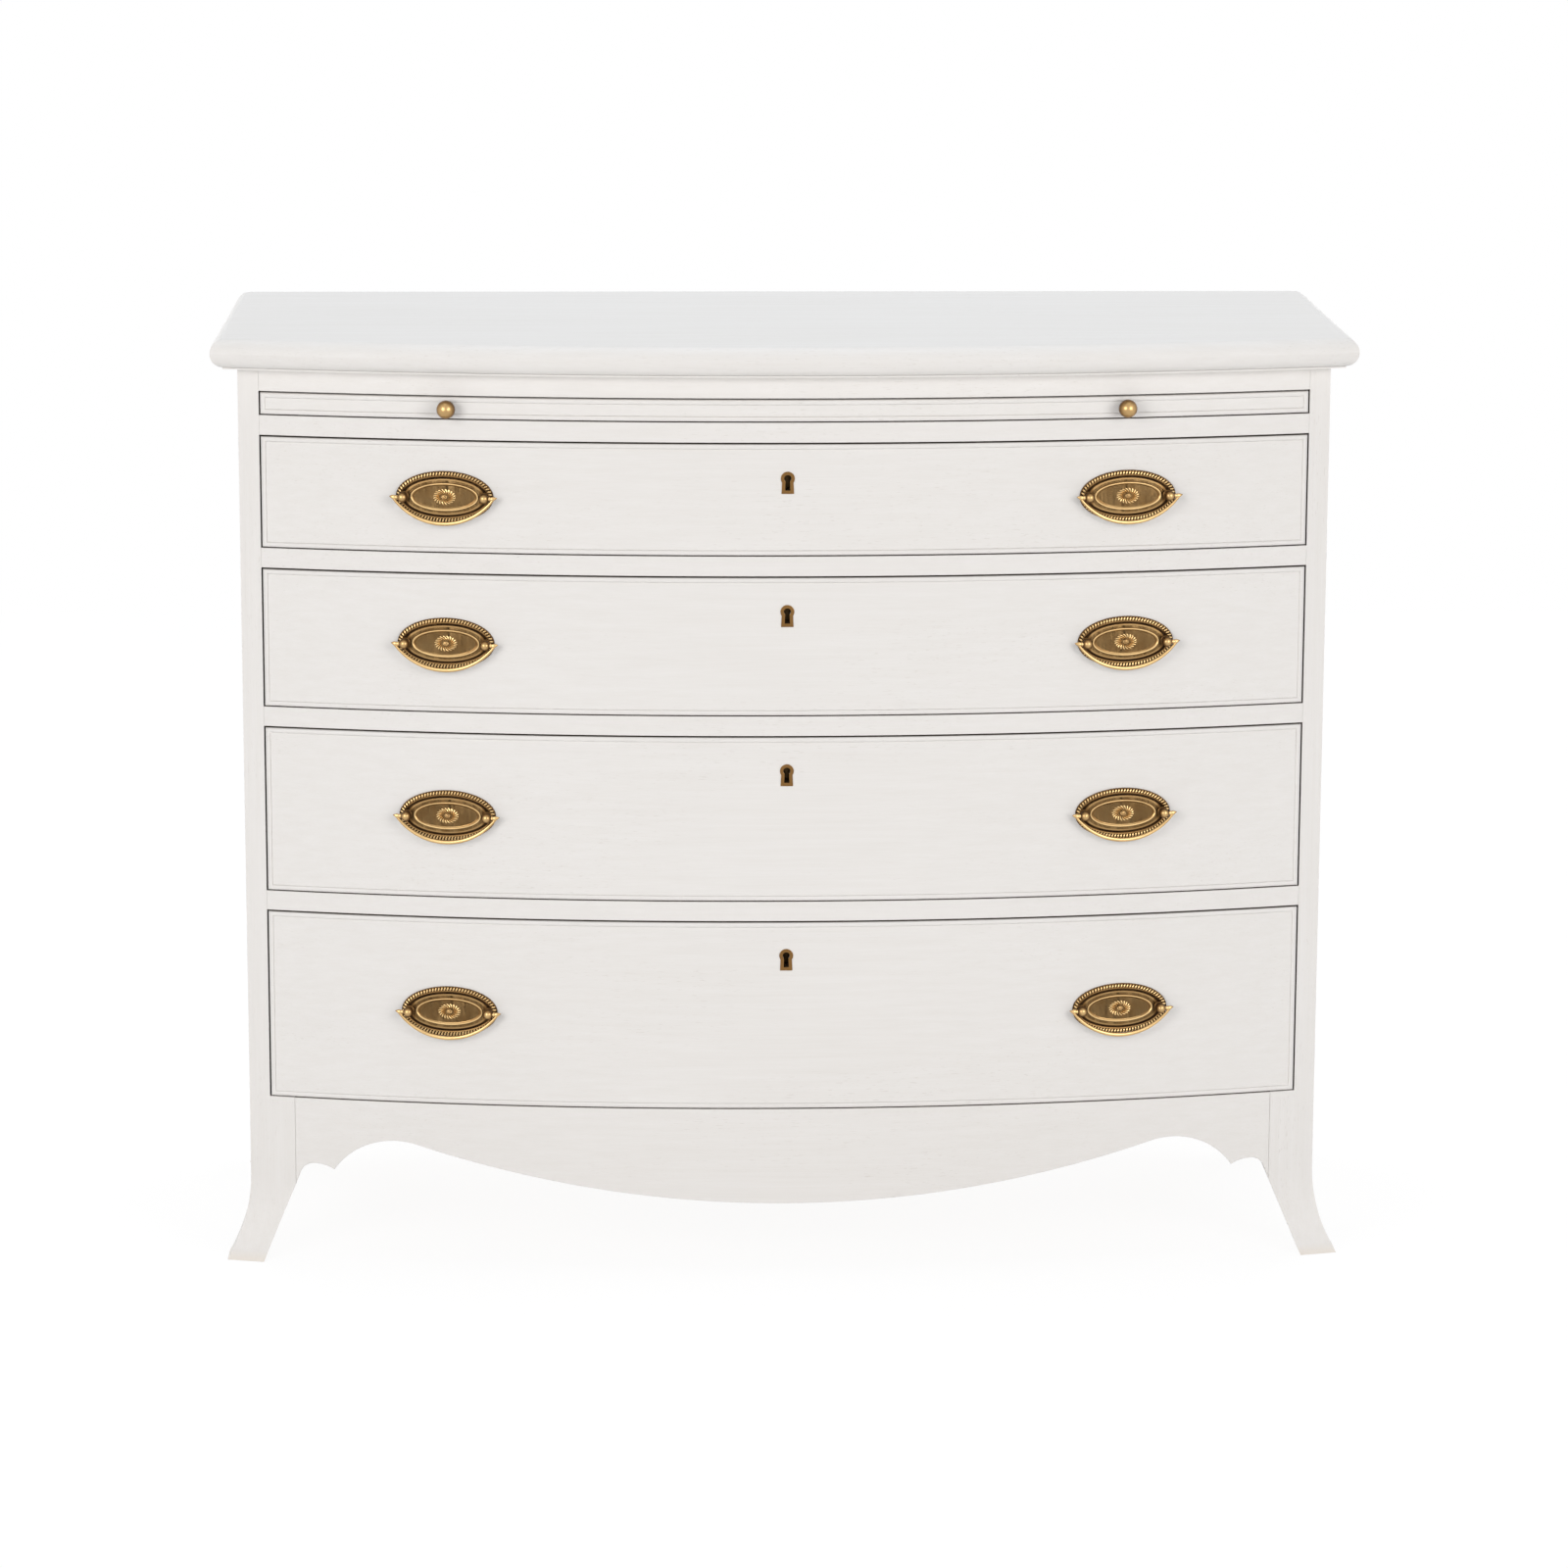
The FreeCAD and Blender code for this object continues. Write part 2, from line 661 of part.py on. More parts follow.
def make_moulding():
    """Thin strips between the case and the top that stand out at the front and sides."""
    z = (CASE_TOP, TOP_UNDERSIDE)
    outside = f"({CASE_SIDE} + moulding_projection)"
    inside = f"({outside} - moulding_width)"
    front = bent("moulding_front", box("moulding_front_blank", both(outside), DEPTH, z), z,
                 "moulding_width", behind="-moulding_projection")
    side = common("moulding_side", box("moulding_side_blank", (inside, outside), DEPTH, z),
                  bow("moulding_side_end", "moulding_width - moulding_projection", z))
    back = box("moulding_back", both(inside), (f"{BACK} - moulding_width", BACK), z)
    strips = [front, side, mirror("moulding_left", side), back]
    node(group("top_moulding", *strips), "top_moulding")


# ---- fronts and their beads ----

def make_front(name, z):
    """A board bent to the bow, with a rebate round its face for the bead."""
    whole = bent(name + "_board", box(name + "_blank", both(FRONT_SIDE), DEPTH, z), z,
                 "front_thickness")
    field = box(name + "_field", both(f"{FRONT_SIDE} - bead_width"), DEPTH,
                (f"{z[0]} + bead_width", f"{z[1]} - bead_width"))
    rim = cut(name + "_rim", box(name + "_rim_blank", both(FRONT_SIDE), DEPTH, z), field)
    rebate = bent(name + "_rebate", rim, z, "(bead_depth + bead_proud)", behind="-bead_proud")
    return cut(name + "_rebated", whole, rebate)


def make_bead(name, z):
    """Four strips with rounded noses, let into the rebate of a front."""
    nose = "((bead_width ^ 2 / 4 + bead_proud ^ 2) / (2 * bead_proud))"
    back = f"{FRONT} + bead_depth"
    inside = f"({FRONT_SIDE} - bead_width)"
    strips = []
    for low in (z[0], f"{z[1]} - bead_width"):
        high = f"{low} + bead_width"
        section = outline(name + "_strip_section", SIDE_VIEW, [
            (FRONT, low), (back, low), (back, high), (FRONT, high, nose, "right")])
        strips.append(common(name + "_strip", turn(name + "_ring", section, "z", y=BOW_AXIS),
                             box(name + "_length", both(inside), DEPTH, z)))
    plan = outline(name + "_side_section", PLAN_VIEW, [
        (inside, bow_at(inside), nose, "right"),
        (FRONT_SIDE, bow_at(FRONT_SIDE)),
        (FRONT_SIDE, bow_at(FRONT_SIDE, "2 * bead_depth")),
        (inside, bow_at(inside, "2 * bead_depth")),
    ])
    right = cut(name + "_right_strip", extrude(name + "_right_blank", plan, "z", z),
                bow(name + "_seat", "bead_depth", z))
    return group(name, *strips, right, mirror(name + "_left_strip", right))


def on_bow(made, x, z, side):
    """Stand something made at the origin on the bow, square to it, right (1) or left (-1)."""
    place(made, f"{side} * ({x})", bow_at(x), z)
    bind(made, "Placement.Rotation.Angle", f"{side} * asin(({x}) / bow_radius)")
    return made


# ---- the brushing slide ----

def make_slide():
    """A shelf that draws out over the top drawer, with a front and two knobs."""
    floor = floor_of(SLIDE)
    z = (f"({floor} + front_gap_bottom)", f"({SLIDE_CEILING} - front_gap_top)")
    profile = [
        (0, "-knob_standoff - knob_radius", "knob_radius", "right"),
        ("knob_radius", "-knob_standoff", "knob_radius", "right"),
        ("knob_neck_radius", "sqrt(knob_radius ^ 2 - knob_neck_radius ^ 2) - knob_standoff"),
        ("knob_neck_radius", "-knob_flange_thickness"),
        ("knob_flange_radius", "-knob_flange_thickness"),
        ("knob_flange_radius", 0),
        ("knob_spigot_radius", 0),
        ("knob_spigot_radius", "knob_spigot_length"),
        (0, "knob_spigot_length"),
    ]
    knobs = []
    for side in (1, -1):
        knob = turn("slide_knob", outline("knob_section", PLAN_VIEW, profile), "y")
        knobs.append(on_bow(knob, "knob_spacing / 2", f"({z[0]} + {z[1]}) / 2", side))
    front = cut("slide_front_drilled", make_front("slide_front", z), *knobs)
    node(group("slide_front", front, make_bead("slide_bead", z)), "slide_front")
    node(group("slide_knobs", *knobs), "slide_knobs")
    board = (f"{floor} + running_clearance", f"{SLIDE_CEILING} - slide_top_clearance")
    node(common("slide_board", box("slide_blank", both(FRONT_SIDE), (DEPTH[0], SLIDE_BACK), board),
                bow("slide_face", "front_thickness", board)), "slide_board")


# ---- the drawers ----

def keyhole_outline(name, height):
    """A round hole with a slot below it that widens downwards."""
    shoulder = f"({height} - sqrt(keyhole_radius ^ 2 - (keyhole_slot_top / 2) ^ 2))"
    right = [
        (0, f"{height} - keyhole_slot_length"),
        ("keyhole_slot_bottom / 2", f"{height} - keyhole_slot_length"),
        ("keyhole_slot_top / 2", shoulder, "keyhole_radius", "right"),
        (0, f"{height} + keyhole_radius"),
    ]
    return outline(name, FRONT_VIEW, right[:-1] + mirrored(right))


def escutcheon_outline(name, height):
    """A plate round the keyhole: a round head on a foot that spreads downwards."""
    waist = f"({height} - sqrt(escutcheon_radius ^ 2 - (escutcheon_waist / 2) ^ 2))"
    foot = f"{height} - escutcheon_length"
    return outline(name, FRONT_VIEW, [
        ("-escutcheon_base / 2", foot),
        ("escutcheon_base / 2", foot),
        ("escutcheon_waist / 2", waist, "escutcheon_radius", "right"),
        (0, f"{height} + escutcheon_radius", "escutcheon_radius", "right"),
        ("-escutcheon_waist / 2", waist),
    ])


def make_lock(level, top):
    """A mortise lock, its bolt, and the plate and hole that the key goes through."""
    height = f"({top} - keyhole_drop)"
    middle = f"{FRONT} + lock_setback + lock_thickness / 2"
    hole = extrude("keyhole", keyhole_outline("keyhole_outline", height), "y",
                   (f"{FRONT} - 2 * escutcheon_proud", middle))
    plate = extrude("escutcheon_blank", escutcheon_outline("escutcheon_outline", height), "y",
                    (f"{FRONT} - escutcheon_proud",
                     f"{FRONT} - escutcheon_proud + escutcheon_depth"))
    node(cut(f"drawer_{level}_escutcheon", plate, hole), f"drawer_{level}_escutcheon")
    case = box("lock_blank", both("lock_width / 2"),
               (f"{FRONT} + lock_setback", f"{FRONT} + lock_setback + lock_thickness"),
               (f"{top} - lock_height", top))
    way = box("bolt_way", both("bolt_width / 2 + bolt_clearance"), lock_span("bolt_clearance"),
              (f"{top} - lock_height + lock_floor", top))
    node(cut(f"drawer_{level}_lock", case, way, hole), f"drawer_{level}_lock")
    node(box(f"lock_bolt_{level}", both("bolt_width / 2"), lock_span(),
             (f"{top} - bolt_drop - bolt_height", f"{top} - bolt_drop")), f"lock_bolt_{level}")
    return [hole, plate, case]


def make_tails(low, high):
    """Dovetails on the front end of a right-hand drawer side, as many as its height takes."""
    count = max(int(value(f"({high} - {low}) / tail_pitch")), 1)
    tip = bow_at(FRONT_SIDE)
    root = f"({tip} + front_thickness + drawer_side_thickness / 2)"
    tails = []
    for step in range(count):
        height = f"({low} + ({high} - {low}) * {2 * step + 1} / {2 * count})"
        plan = outline("tail_outline", SIDE_VIEW, [
            (tip, f"{height} - tail_wide / 2"),
            (root, f"{height} - tail_narrow / 2"),
            (root, f"{height} + tail_narrow / 2"),
            (tip, f"{height} + tail_wide / 2"),
        ])
        tails.append(extrude("tail", plan, "x", (DRAWER_INSIDE, FRONT_SIDE)))
    return common("tails", group("tail_blanks", *tails), bow("tail_ends", "tail_lap", (low, high)))


def make_drawer_box(level):
    """Two dovetailed sides, a back, and a bottom that slides into their grooves."""
    floor = floor_of(level)
    ceiling = f"{floor} + drawer_{level}_opening"
    low, high = f"({floor} + running_clearance)", f"({ceiling} - drawer_side_drop)"
    bottom_z = (f"{floor} + drawer_bottom_rise",
                f"{floor} + drawer_bottom_rise + drawer_bottom_thickness")
    bottom = common("drawer_bottom",
                    box("drawer_bottom_blank", both(f"{DRAWER_INSIDE} + groove_depth"),
                        (DEPTH[0], DRAWER_BACK), bottom_z),
                    bow("drawer_bottom_face", "front_thickness - groove_depth", bottom_z))
    side = common("drawer_side_board",
                  box("drawer_side_blank", (DRAWER_INSIDE, FRONT_SIDE), (DEPTH[0], DRAWER_BACK),
                      (low, high)),
                  bow("drawer_side_end", "front_thickness", (low, high)))
    tails = make_tails(low, high)
    right = cut("drawer_side", fuse("drawer_side_with_tails", side, tails), bottom)
    back = box("drawer_back", both(DRAWER_INSIDE),
               (f"{DRAWER_BACK} - drawer_back_thickness", DRAWER_BACK),
               (bottom_z[1], f"{ceiling} - drawer_back_drop"))
    name = f"drawer_{level}_box"
    node(group(name, right, mirror("left_drawer_side", right), back, bottom), name)
    return [tails, mirror("left_tails", tails), bottom]


def make_post():
    """A right-hand ball post: its ball is drilled from outside for the pin of the bail."""
    x = "handle_boring / 2"
    ball_foot = "sqrt(post_ball_radius ^ 2 - post_stem_radius ^ 2) - bail_standoff"
    seat = "-plate_thickness"
    section = outline("post_section", PLAN_VIEW, [
        (0, "-bail_standoff - post_ball_radius", "post_ball_radius", "right"),
        ("post_ball_radius", "-bail_standoff", "post_ball_radius", "right"),
        ("post_stem_radius", ball_foot),
        ("post_stem_radius", f"{seat} - post_flange_thickness"),
        ("post_flange_radius", f"{seat} - post_flange_thickness"),
        ("post_flange_radius", seat),
        ("post_shank_radius", seat),
        ("post_shank_radius", "front_thickness + post_shank_spare"),
        (0, "front_thickness + post_shank_spare"),
    ])
    turned = place(turn("post_blank", section, "y"), x)
    pin_hole = rod("pin_hole", "bail_pin_radius + bail_pin_clearance", "x",
                   (f"{PIN_END} - bail_end_clearance", "bail_half_span"), y="-bail_standoff")
    return cut("post", turned, pin_hole)


def make_nut():
    """A hexagonal nut on a right-hand post, behind the drawer front."""
    blank = doc.addObject("Part::Prism", "nut_blank")
    blank.Placement = FreeCAD.Placement(V(), POINTING["y"])
    bind(blank, "Circumradius", "nut_radius")
    bind(blank, "Height", "nut_thickness")
    place(blank, "handle_boring / 2", NUT_SEAT)
    thread = rod("nut_thread", "post_shank_radius", "y", (NUT_SEAT, f"{NUT_SEAT} + nut_thickness"),
                 x="handle_boring / 2")
    return cut("nut", blank, thread)


def make_bail():
    """A bail that hangs in a round arc, with a collar and a pin at each end."""
    radius = "((bail_half_span ^ 2 + bail_sag ^ 2) / (2 * bail_sag))"
    ring = doc.addObject("Part::Torus", "bail_ring")
    ring.Placement = FreeCAD.Placement(V(), FRONT_VIEW)
    bind(ring, "Radius1", radius)
    bind(ring, "Radius2", "bail_wire_radius")
    place(ring, 0, "-bail_standoff", f"{radius} - bail_sag")
    room = "2 * bail_wire_radius"
    below = box("bail_arc_room", both(f"bail_half_span + {room}"),
                (f"-bail_standoff - {room}", f"-bail_standoff + {room}"), (f"-bail_sag - {room}", 0))
    right = []
    for name, size, inner in (
            ("bail_pin", "bail_pin_radius", PIN_END),
            ("bail_collar", "bail_collar_radius",
             "handle_boring / 2 + post_ball_radius + bail_end_clearance")):
        right.append(rod(name, size, "x", (inner, "bail_half_span"), y="-bail_standoff"))
    knuckle = doc.addObject("Part::Sphere", "bail_knuckle")
    bind(knuckle, "Radius", "bail_collar_radius")
    right.append(place(knuckle, "bail_half_span", "-bail_standoff"))
    ends = fuse("bail_end", *right)
    return fuse("bail", common("bail_arc", ring, below), ends, mirror("bail_left_end", ends))


def make_plate(posts):
    """An oval plate with a raised rim, an inner oval and a rosette, fitted to the bow."""
    back = "bow_radius - sqrt(bow_radius ^ 2 - (plate_length / 2) ^ 2)"
    rim = cut("plate_rim", oval("rim_oval", "plate_length", "plate_height", ("-rim_thickness", 0)),
              oval("rim_hollow", "plate_length - 2 * rim_width", "plate_height - 2 * rim_width",
                   ("-rim_thickness", 0)))
    ring = cut("plate_oval", oval("oval", "oval_length", "oval_height", ("-rim_thickness", 0)),
               oval("oval_hollow", "oval_length - 2 * oval_width", "oval_height - 2 * oval_width",
                    ("-rim_thickness", 0)))
    plate = fuse("plate_blank", rim, ring,
                 oval("plate_base", "plate_length", "plate_height", ("-plate_thickness", back)),
                 oval("rosette", "rosette_length", "rosette_height", ("-rim_thickness", 0)),
                 oval("boss", "boss_length", "boss_height", ("-boss_thickness", 0)))
    wood = rod("bow_behind_plate", "bow_radius", "z", both("plate_height"), y="bow_radius")
    return cut("plate", plate, wood, *posts)


def make_handle():
    """A whole handle at the origin: its plate, its hardware, its drilling and its bail."""
    post, nut = make_post(), make_nut()
    posts = [post, mirror("left_post", post)]
    hardware = group("handle_hardware", *posts, nut, mirror("left_nut", nut))
    drill = rod("post_hole", "post_shank_radius + post_hole_clearance", "y",
                (0, "2 * front_thickness"), x="handle_boring / 2")
    drilling = group("post_holes", drill, mirror("left_post_hole", drill))
    return make_plate(posts), hardware, drilling, make_bail()


def hang_handles(level, height, handle):
    """A handle on each side of a drawer front; what is drilled for them is returned."""
    plate, hardware, drilling, bail = handle
    plates, posts, holes = [], [], []
    for side, hand in ((1, "right"), (-1, "left")):
        for master, copies in ((plate, plates), (hardware, posts), (drilling, holes)):
            copy = group(f"{hand}_{master.Name}", master)
            copies.append(on_bow(copy, "handle_spacing / 2", height, side))
        name = f"drawer_{level}_{hand}_bail"
        node(on_bow(group(name, bail), "handle_spacing / 2", height, side), name)
    for name, copies in ((f"drawer_{level}_backplates", plates),
                         (f"drawer_{level}_handle_posts", posts)):
        node(group(name, *copies), name)
    return holes


def make_drawer(level, handle):
    floor = floor_of(level)
    z = (f"({floor} + front_gap_bottom)", f"({floor} + drawer_{level}_opening - front_gap_top)")
    name = f"drawer_{level}_front"
    removed = make_lock(level, z[1]) + make_drawer_box(level)
    removed += hang_handles(level, f"({z[0]} + {z[1]}) / 2", handle)
    node(cut(name, make_front(name, z), *removed), name)
    node(make_bead(f"drawer_{level}_bead", z), f"drawer_{level}_bead")


screws = make_screws()
legs = make_legs(screws)
make_side_panels()
make_rails(screws)
make_apron()
make_bottom_board(legs, screws)
make_corner_blocks()
make_back_panel(screws)
make_runners()
make_stops()
make_top()
make_moulding()
make_slide()
handle = make_handle()
for level in DRAWERS:
    make_drawer(level, handle)
doc.recompute()

for thing in doc.Objects:
    if "Invalid" in thing.State or "Error" in thing.State:
        raise RuntimeError(f"{thing.Label} failed: {thing.State}")
for sub_part in nodes:
    if sub_part.Shape.isNull() or not sub_part.Shape.isValid():
        raise RuntimeError(f"{sub_part.Label} has no valid shape")

os.makedirs("parts", exist_ok=True)
for sub_part in nodes:
    sub_part.Shape.exportStep(f"parts/{sub_part.Label}.step")
print(f"{len(nodes)} nodes from {len(doc.Objects)} objects")
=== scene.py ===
# %% [markdown]
# # A bow front chest of drawers, painted white, with antique brass handles
#
# The chest has a top with a rounded edge, a brushing slide, four graduated drawers and splayed
# feet. All its fronts are bent round one upright axis behind it, the way a barrel's side is.
# This lesson dresses the chest piece by piece: boards first, then brass, then the finishes.
#
# The construction comes in as a fixed frame of named nodes. Every piece made here stands for one
# of them, rides on the same body, and takes its size and place from it. So each shape is right
# before it is made pretty, and drawers still open.

# %% Start with the frame
import json
import math

import bmesh
import bpy
from mathutils import Matrix, Quaternion, Vector


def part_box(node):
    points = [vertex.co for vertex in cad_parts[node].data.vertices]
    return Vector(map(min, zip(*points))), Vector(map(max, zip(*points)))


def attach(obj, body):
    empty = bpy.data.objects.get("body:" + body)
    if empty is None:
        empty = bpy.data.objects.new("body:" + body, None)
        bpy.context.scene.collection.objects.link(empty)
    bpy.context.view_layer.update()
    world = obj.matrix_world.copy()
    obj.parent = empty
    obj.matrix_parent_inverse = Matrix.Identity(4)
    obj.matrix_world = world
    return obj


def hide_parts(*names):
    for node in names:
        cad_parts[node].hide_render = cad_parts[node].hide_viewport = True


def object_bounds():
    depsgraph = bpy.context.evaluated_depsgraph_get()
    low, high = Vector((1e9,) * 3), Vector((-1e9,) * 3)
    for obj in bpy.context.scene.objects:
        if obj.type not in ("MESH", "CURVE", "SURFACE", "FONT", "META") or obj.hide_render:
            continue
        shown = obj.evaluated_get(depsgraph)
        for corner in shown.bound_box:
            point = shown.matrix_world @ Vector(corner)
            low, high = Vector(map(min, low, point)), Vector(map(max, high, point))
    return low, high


MM = 0.001
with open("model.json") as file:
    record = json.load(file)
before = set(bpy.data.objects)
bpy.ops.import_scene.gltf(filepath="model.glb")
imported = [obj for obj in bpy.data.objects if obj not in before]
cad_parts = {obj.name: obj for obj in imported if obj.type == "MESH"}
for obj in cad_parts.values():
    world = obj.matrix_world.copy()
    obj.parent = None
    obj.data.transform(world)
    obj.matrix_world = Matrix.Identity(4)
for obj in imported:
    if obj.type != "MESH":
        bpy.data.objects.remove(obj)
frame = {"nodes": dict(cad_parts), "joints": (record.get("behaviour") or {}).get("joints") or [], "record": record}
nodes = frame["nodes"]
cad_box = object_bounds()
body_of = {node: body for body, members in frame["record"]["behaviour"]["bodies"].items()
           for node in members}
DRAWERS = (1, 2, 3, 4)
print(f"{len(nodes)} nodes, from {tuple(cad_box[0])} to {tuple(cad_box[1])}")

# %% [markdown]
# ## The bow
#
# One cylinder carries every front: its axis stands 2.07 m behind the middle of the drawers.
# It is simplest to model a front as a straight board, where Y is the depth behind the face, and
# to bend the finished board. A point at depth y then lands on a cylinder that is y smaller, so
# that faces, beads and rebates stay parallel, just as in steam-bent timber.

# %% Bend straight boards to the bow
BOW_RADIUS = 2070 * MM
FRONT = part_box("drawer_1_front")[0].y       # middle of the bow
BOW_AXIS = FRONT + BOW_RADIUS
STRIP = 20 * MM                             # flats that a bent board is sliced into


def bow(x, behind=0):
    """Where the bow, or a face some way behind it, is at a distance from the middle."""
    return BOW_AXIS - math.sqrt((BOW_RADIUS - behind) ** 2 - x ** 2)


def everything(bm):
    return bm.verts[:] + bm.edges[:] + bm.faces[:]


def score(bm, place, direction):
    """Cut the faces of a mesh along a plane, and keep both sides."""
    bmesh.ops.bisect_plane(bm, geom=everything(bm), dist=MM / 1000, plane_co=place,
                           plane_no=direction)


def slice_board(bm):
    """Cut a board into upright strips that are narrow enough to bend."""
    reach = max(vert.co.x for vert in bm.verts)
    count = int(reach / STRIP)
    for step in range(-count, count + 1):
        score(bm, (step * STRIP, 0, 0), (1, 0, 0))


def bend(bm, depth=math.inf):
    """Bend a straight board; what lies deeper than depth keeps its straight back."""
    for vert in bm.verts:
        if vert.co.y < depth:
            vert.co.y = bow(vert.co.x, vert.co.y)
        else:
            vert.co.y += FRONT


# %% [markdown]
# ## Small tools for boards
#
# A board starts as the cube operator's cube, stretched between two corners. Sharp edges catch no
# light, and no real board has them, so each piece ends with a small bevel on its sharp edges.
# The copy of a construction node needs its loose triangles merged and its flat faces dissolved
# before the bevel can see its edges.

# %% Boards, bevels and pockets
def block(bm, low, high):
    """A box between two corners."""
    low, high = Vector(low), Vector(high)
    matrix = Matrix.Translation((low + high) / 2) @ Matrix.Diagonal((*(high - low), 1))
    return bmesh.ops.create_cube(bm, size=1, matrix=matrix)["verts"]


def sharp_edges(bm, degrees=30):
    return [edge for edge in bm.edges
            if len(edge.link_faces) == 2 and edge.calc_face_angle() > math.radians(degrees)]


def ease(bm, size, edges=None, segments=2):
    """Round edges over; all the sharp ones unless some are named."""
    bmesh.ops.bevel(bm, geom=sharp_edges(bm) if edges is None else edges, offset=size,
                    segments=segments, profile=0.5, affect="EDGES", material=-1,
                    clamp_overlap=True)


def solids_in(bm):
    """The corners of each solid: its faces follow each other until no edge lacks a partner."""
    solids, corners, waiting = [], set(), set()
    for face in bm.faces:
        corners.update(face.verts)
        for edge in face.edges:
            waiting ^= {frozenset((vert.co / MM * 100).to_tuple(0) for vert in edge.verts)}
        if not waiting:
            solids.append(list(corners))
            corners = set()
    return solids


def copy_of(node):
    """A bmesh of a construction node; solids that touch aren't merged with each other."""
    bm = bmesh.new()
    bm.from_mesh(nodes[node].data)
    for corners in solids_in(bm):
        bmesh.ops.remove_doubles(bm, verts=corners, dist=MM / 200)
    bmesh.ops.dissolve_limit(bm, angle_limit=math.radians(0.4), verts=bm.verts, edges=bm.edges)
    return bm


def verts_among(parts):
    return [part for part in parts if isinstance(part, bmesh.types.BMVert)]


def draw_out(bm, faces, offset):
    """Extrude faces of a solid together and move them."""
    parts = set(faces)
    for face in faces:
        parts.update(face.edges[:] + face.verts[:])
    drawn = bmesh.ops.extrude_face_region(bm, geom=list(parts))["geom"]
    bmesh.ops.translate(bm, vec=offset, verts=verts_among(drawn))


def pocket(bm, low, high, axis, depth):
    """Sink the part of a face that lies between two corners; depth is signed, along the axis."""
    for across in {0, 1, 2} - {axis}:
        for corner in (low, high):
            score(bm, corner, Vector((across == 0, across == 1, across == 2)))
    inside = [face for face in bm.faces if face.normal[axis] * depth < 0 and
              all(low[i] < face.calc_center_median()[i] < high[i] for i in range(3))]
    draw_out(bm, inside, Vector((axis == 0, axis == 1, axis == 2)) * depth)


# %% [markdown]
# ## Finishes as expressions
#
# Each finish is a small sum: a base colour, plus what grain, brush marks, hollows and painted shade do to it.
# Written with nodes alone that is hard to read, so a tiny class wraps a node's socket and turns
# Python's own signs into Math nodes. One method adds every other kind of node.

# %% A socket that can be reckoned with, and a finish under construction
class Socket:
    """A node's output, or a number, in a sum of shader values."""

    def __init__(self, finish, link):
        self.finish, self.link = finish, link

    def reckon(self, operation, first, second):
        return self.finish.add("Math", {"operation": operation}, {0: first, 1: second})

    def __add__(self, other):
        return self.reckon("ADD", self, other)

    def __sub__(self, other):
        return self.reckon("SUBTRACT", self, other)

    def __rsub__(self, other):
        return self.reckon("SUBTRACT", other, self)

    def __mul__(self, other):
        return self.reckon("MULTIPLY", self, other)

    __radd__, __rmul__ = __add__, __mul__


class Finish:
    """A material, or a world, under construction."""

    def __init__(self, name, kind="materials"):
        self.made = getattr(bpy.data, kind).new(name)
        self.made.use_nodes = True
        self.tree = self.made.node_tree
        self.tree.nodes.clear()

    def add(self, kind, settings=None, inputs=None, output=0):
        """Add a node, with its settings first and then its inputs; returns one output."""
        made = self.tree.nodes.new("ShaderNode" + kind)
        for field, setting in (settings or {}).items():
            setattr(made, field, setting)
        for field, given in (inputs or {}).items():
            if isinstance(given, Socket):
                self.tree.links.new(given.link, made.inputs[field])
            else:
                made.inputs[field].default_value = given
        return Socket(self, made.outputs[output]) if made.outputs else None

    def place(self, scale=(1, 1, 1), shift=(0, 0, 0)):
        """Object coordinates, stretched by a scale for each axis and then shifted."""
        where = self.add("TexCoord", output="Object")
        return self.add("Mapping", inputs={"Vector": where, "Scale": scale, "Location": shift})

    def noise(self, scale, detail=2.0, distortion=0.0):
        return self.add("TexNoise", {"noise_dimensions": "3D"},
                        {"Vector": self.place(scale), "Scale": 1.0, "Detail": detail,
                         "Distortion": distortion})

    def streaks(self, along, length, width, detail=2.0, distortion=0.0):
        """Noise drawn out into marks of a length along one axis and a width across it."""
        scale = tuple(1 / (length if axis == along else width) for axis in "xyz")
        return self.noise(scale, detail, distortion)

    def ramp(self, value, low, high):
        """A value brought from low..high to 0..1, and held inside it."""
        return self.add("MapRange", {"clamp": True},
                        {"Value": value, "From Min": low, "From Max": high})

    def mix(self, share, one, other):
        """A colour part of the way from one to the other."""
        return self.add("Mix", {"data_type": "RGBA"}, {0: share, 6: one, 7: other}, output=2)

    def surface(self, inputs, height=None, depth=MM):
        """Close the finish with a Principled shader, with a bump from a height."""
        if height is not None:
            inputs["Normal"] = self.add("Bump", inputs={"Height": height, "Distance": depth})
        shader = self.add("BsdfPrincipled", inputs=inputs)
        self.add("OutputMaterial", inputs={"Surface": shader})
        print(f"{self.made.name}: {len(self.tree.nodes)} nodes")
        return self.made

    def seen(self):
        """1 for rays that show a thing to the eye, straight or mirrored; 0 for rays that light."""
        paths = [self.add("LightPath", output=f"Is {kind} Ray")
                 for kind in ("Camera", "Glossy", "Transmission")]
        return self.add("Math", {"operation": "MINIMUM"}, {0: sum(paths), 1: 1.0})


def tint(red, green, blue):
    """A screen colour, 0 to 255, as the linear colour that a shader takes."""
    def linear(part):
        part /= 255
        return part / 12.92 if part <= 0.04045 else ((part + 0.055) / 1.055) ** 2.4
    return (linear(red), linear(green), linear(blue), 1)
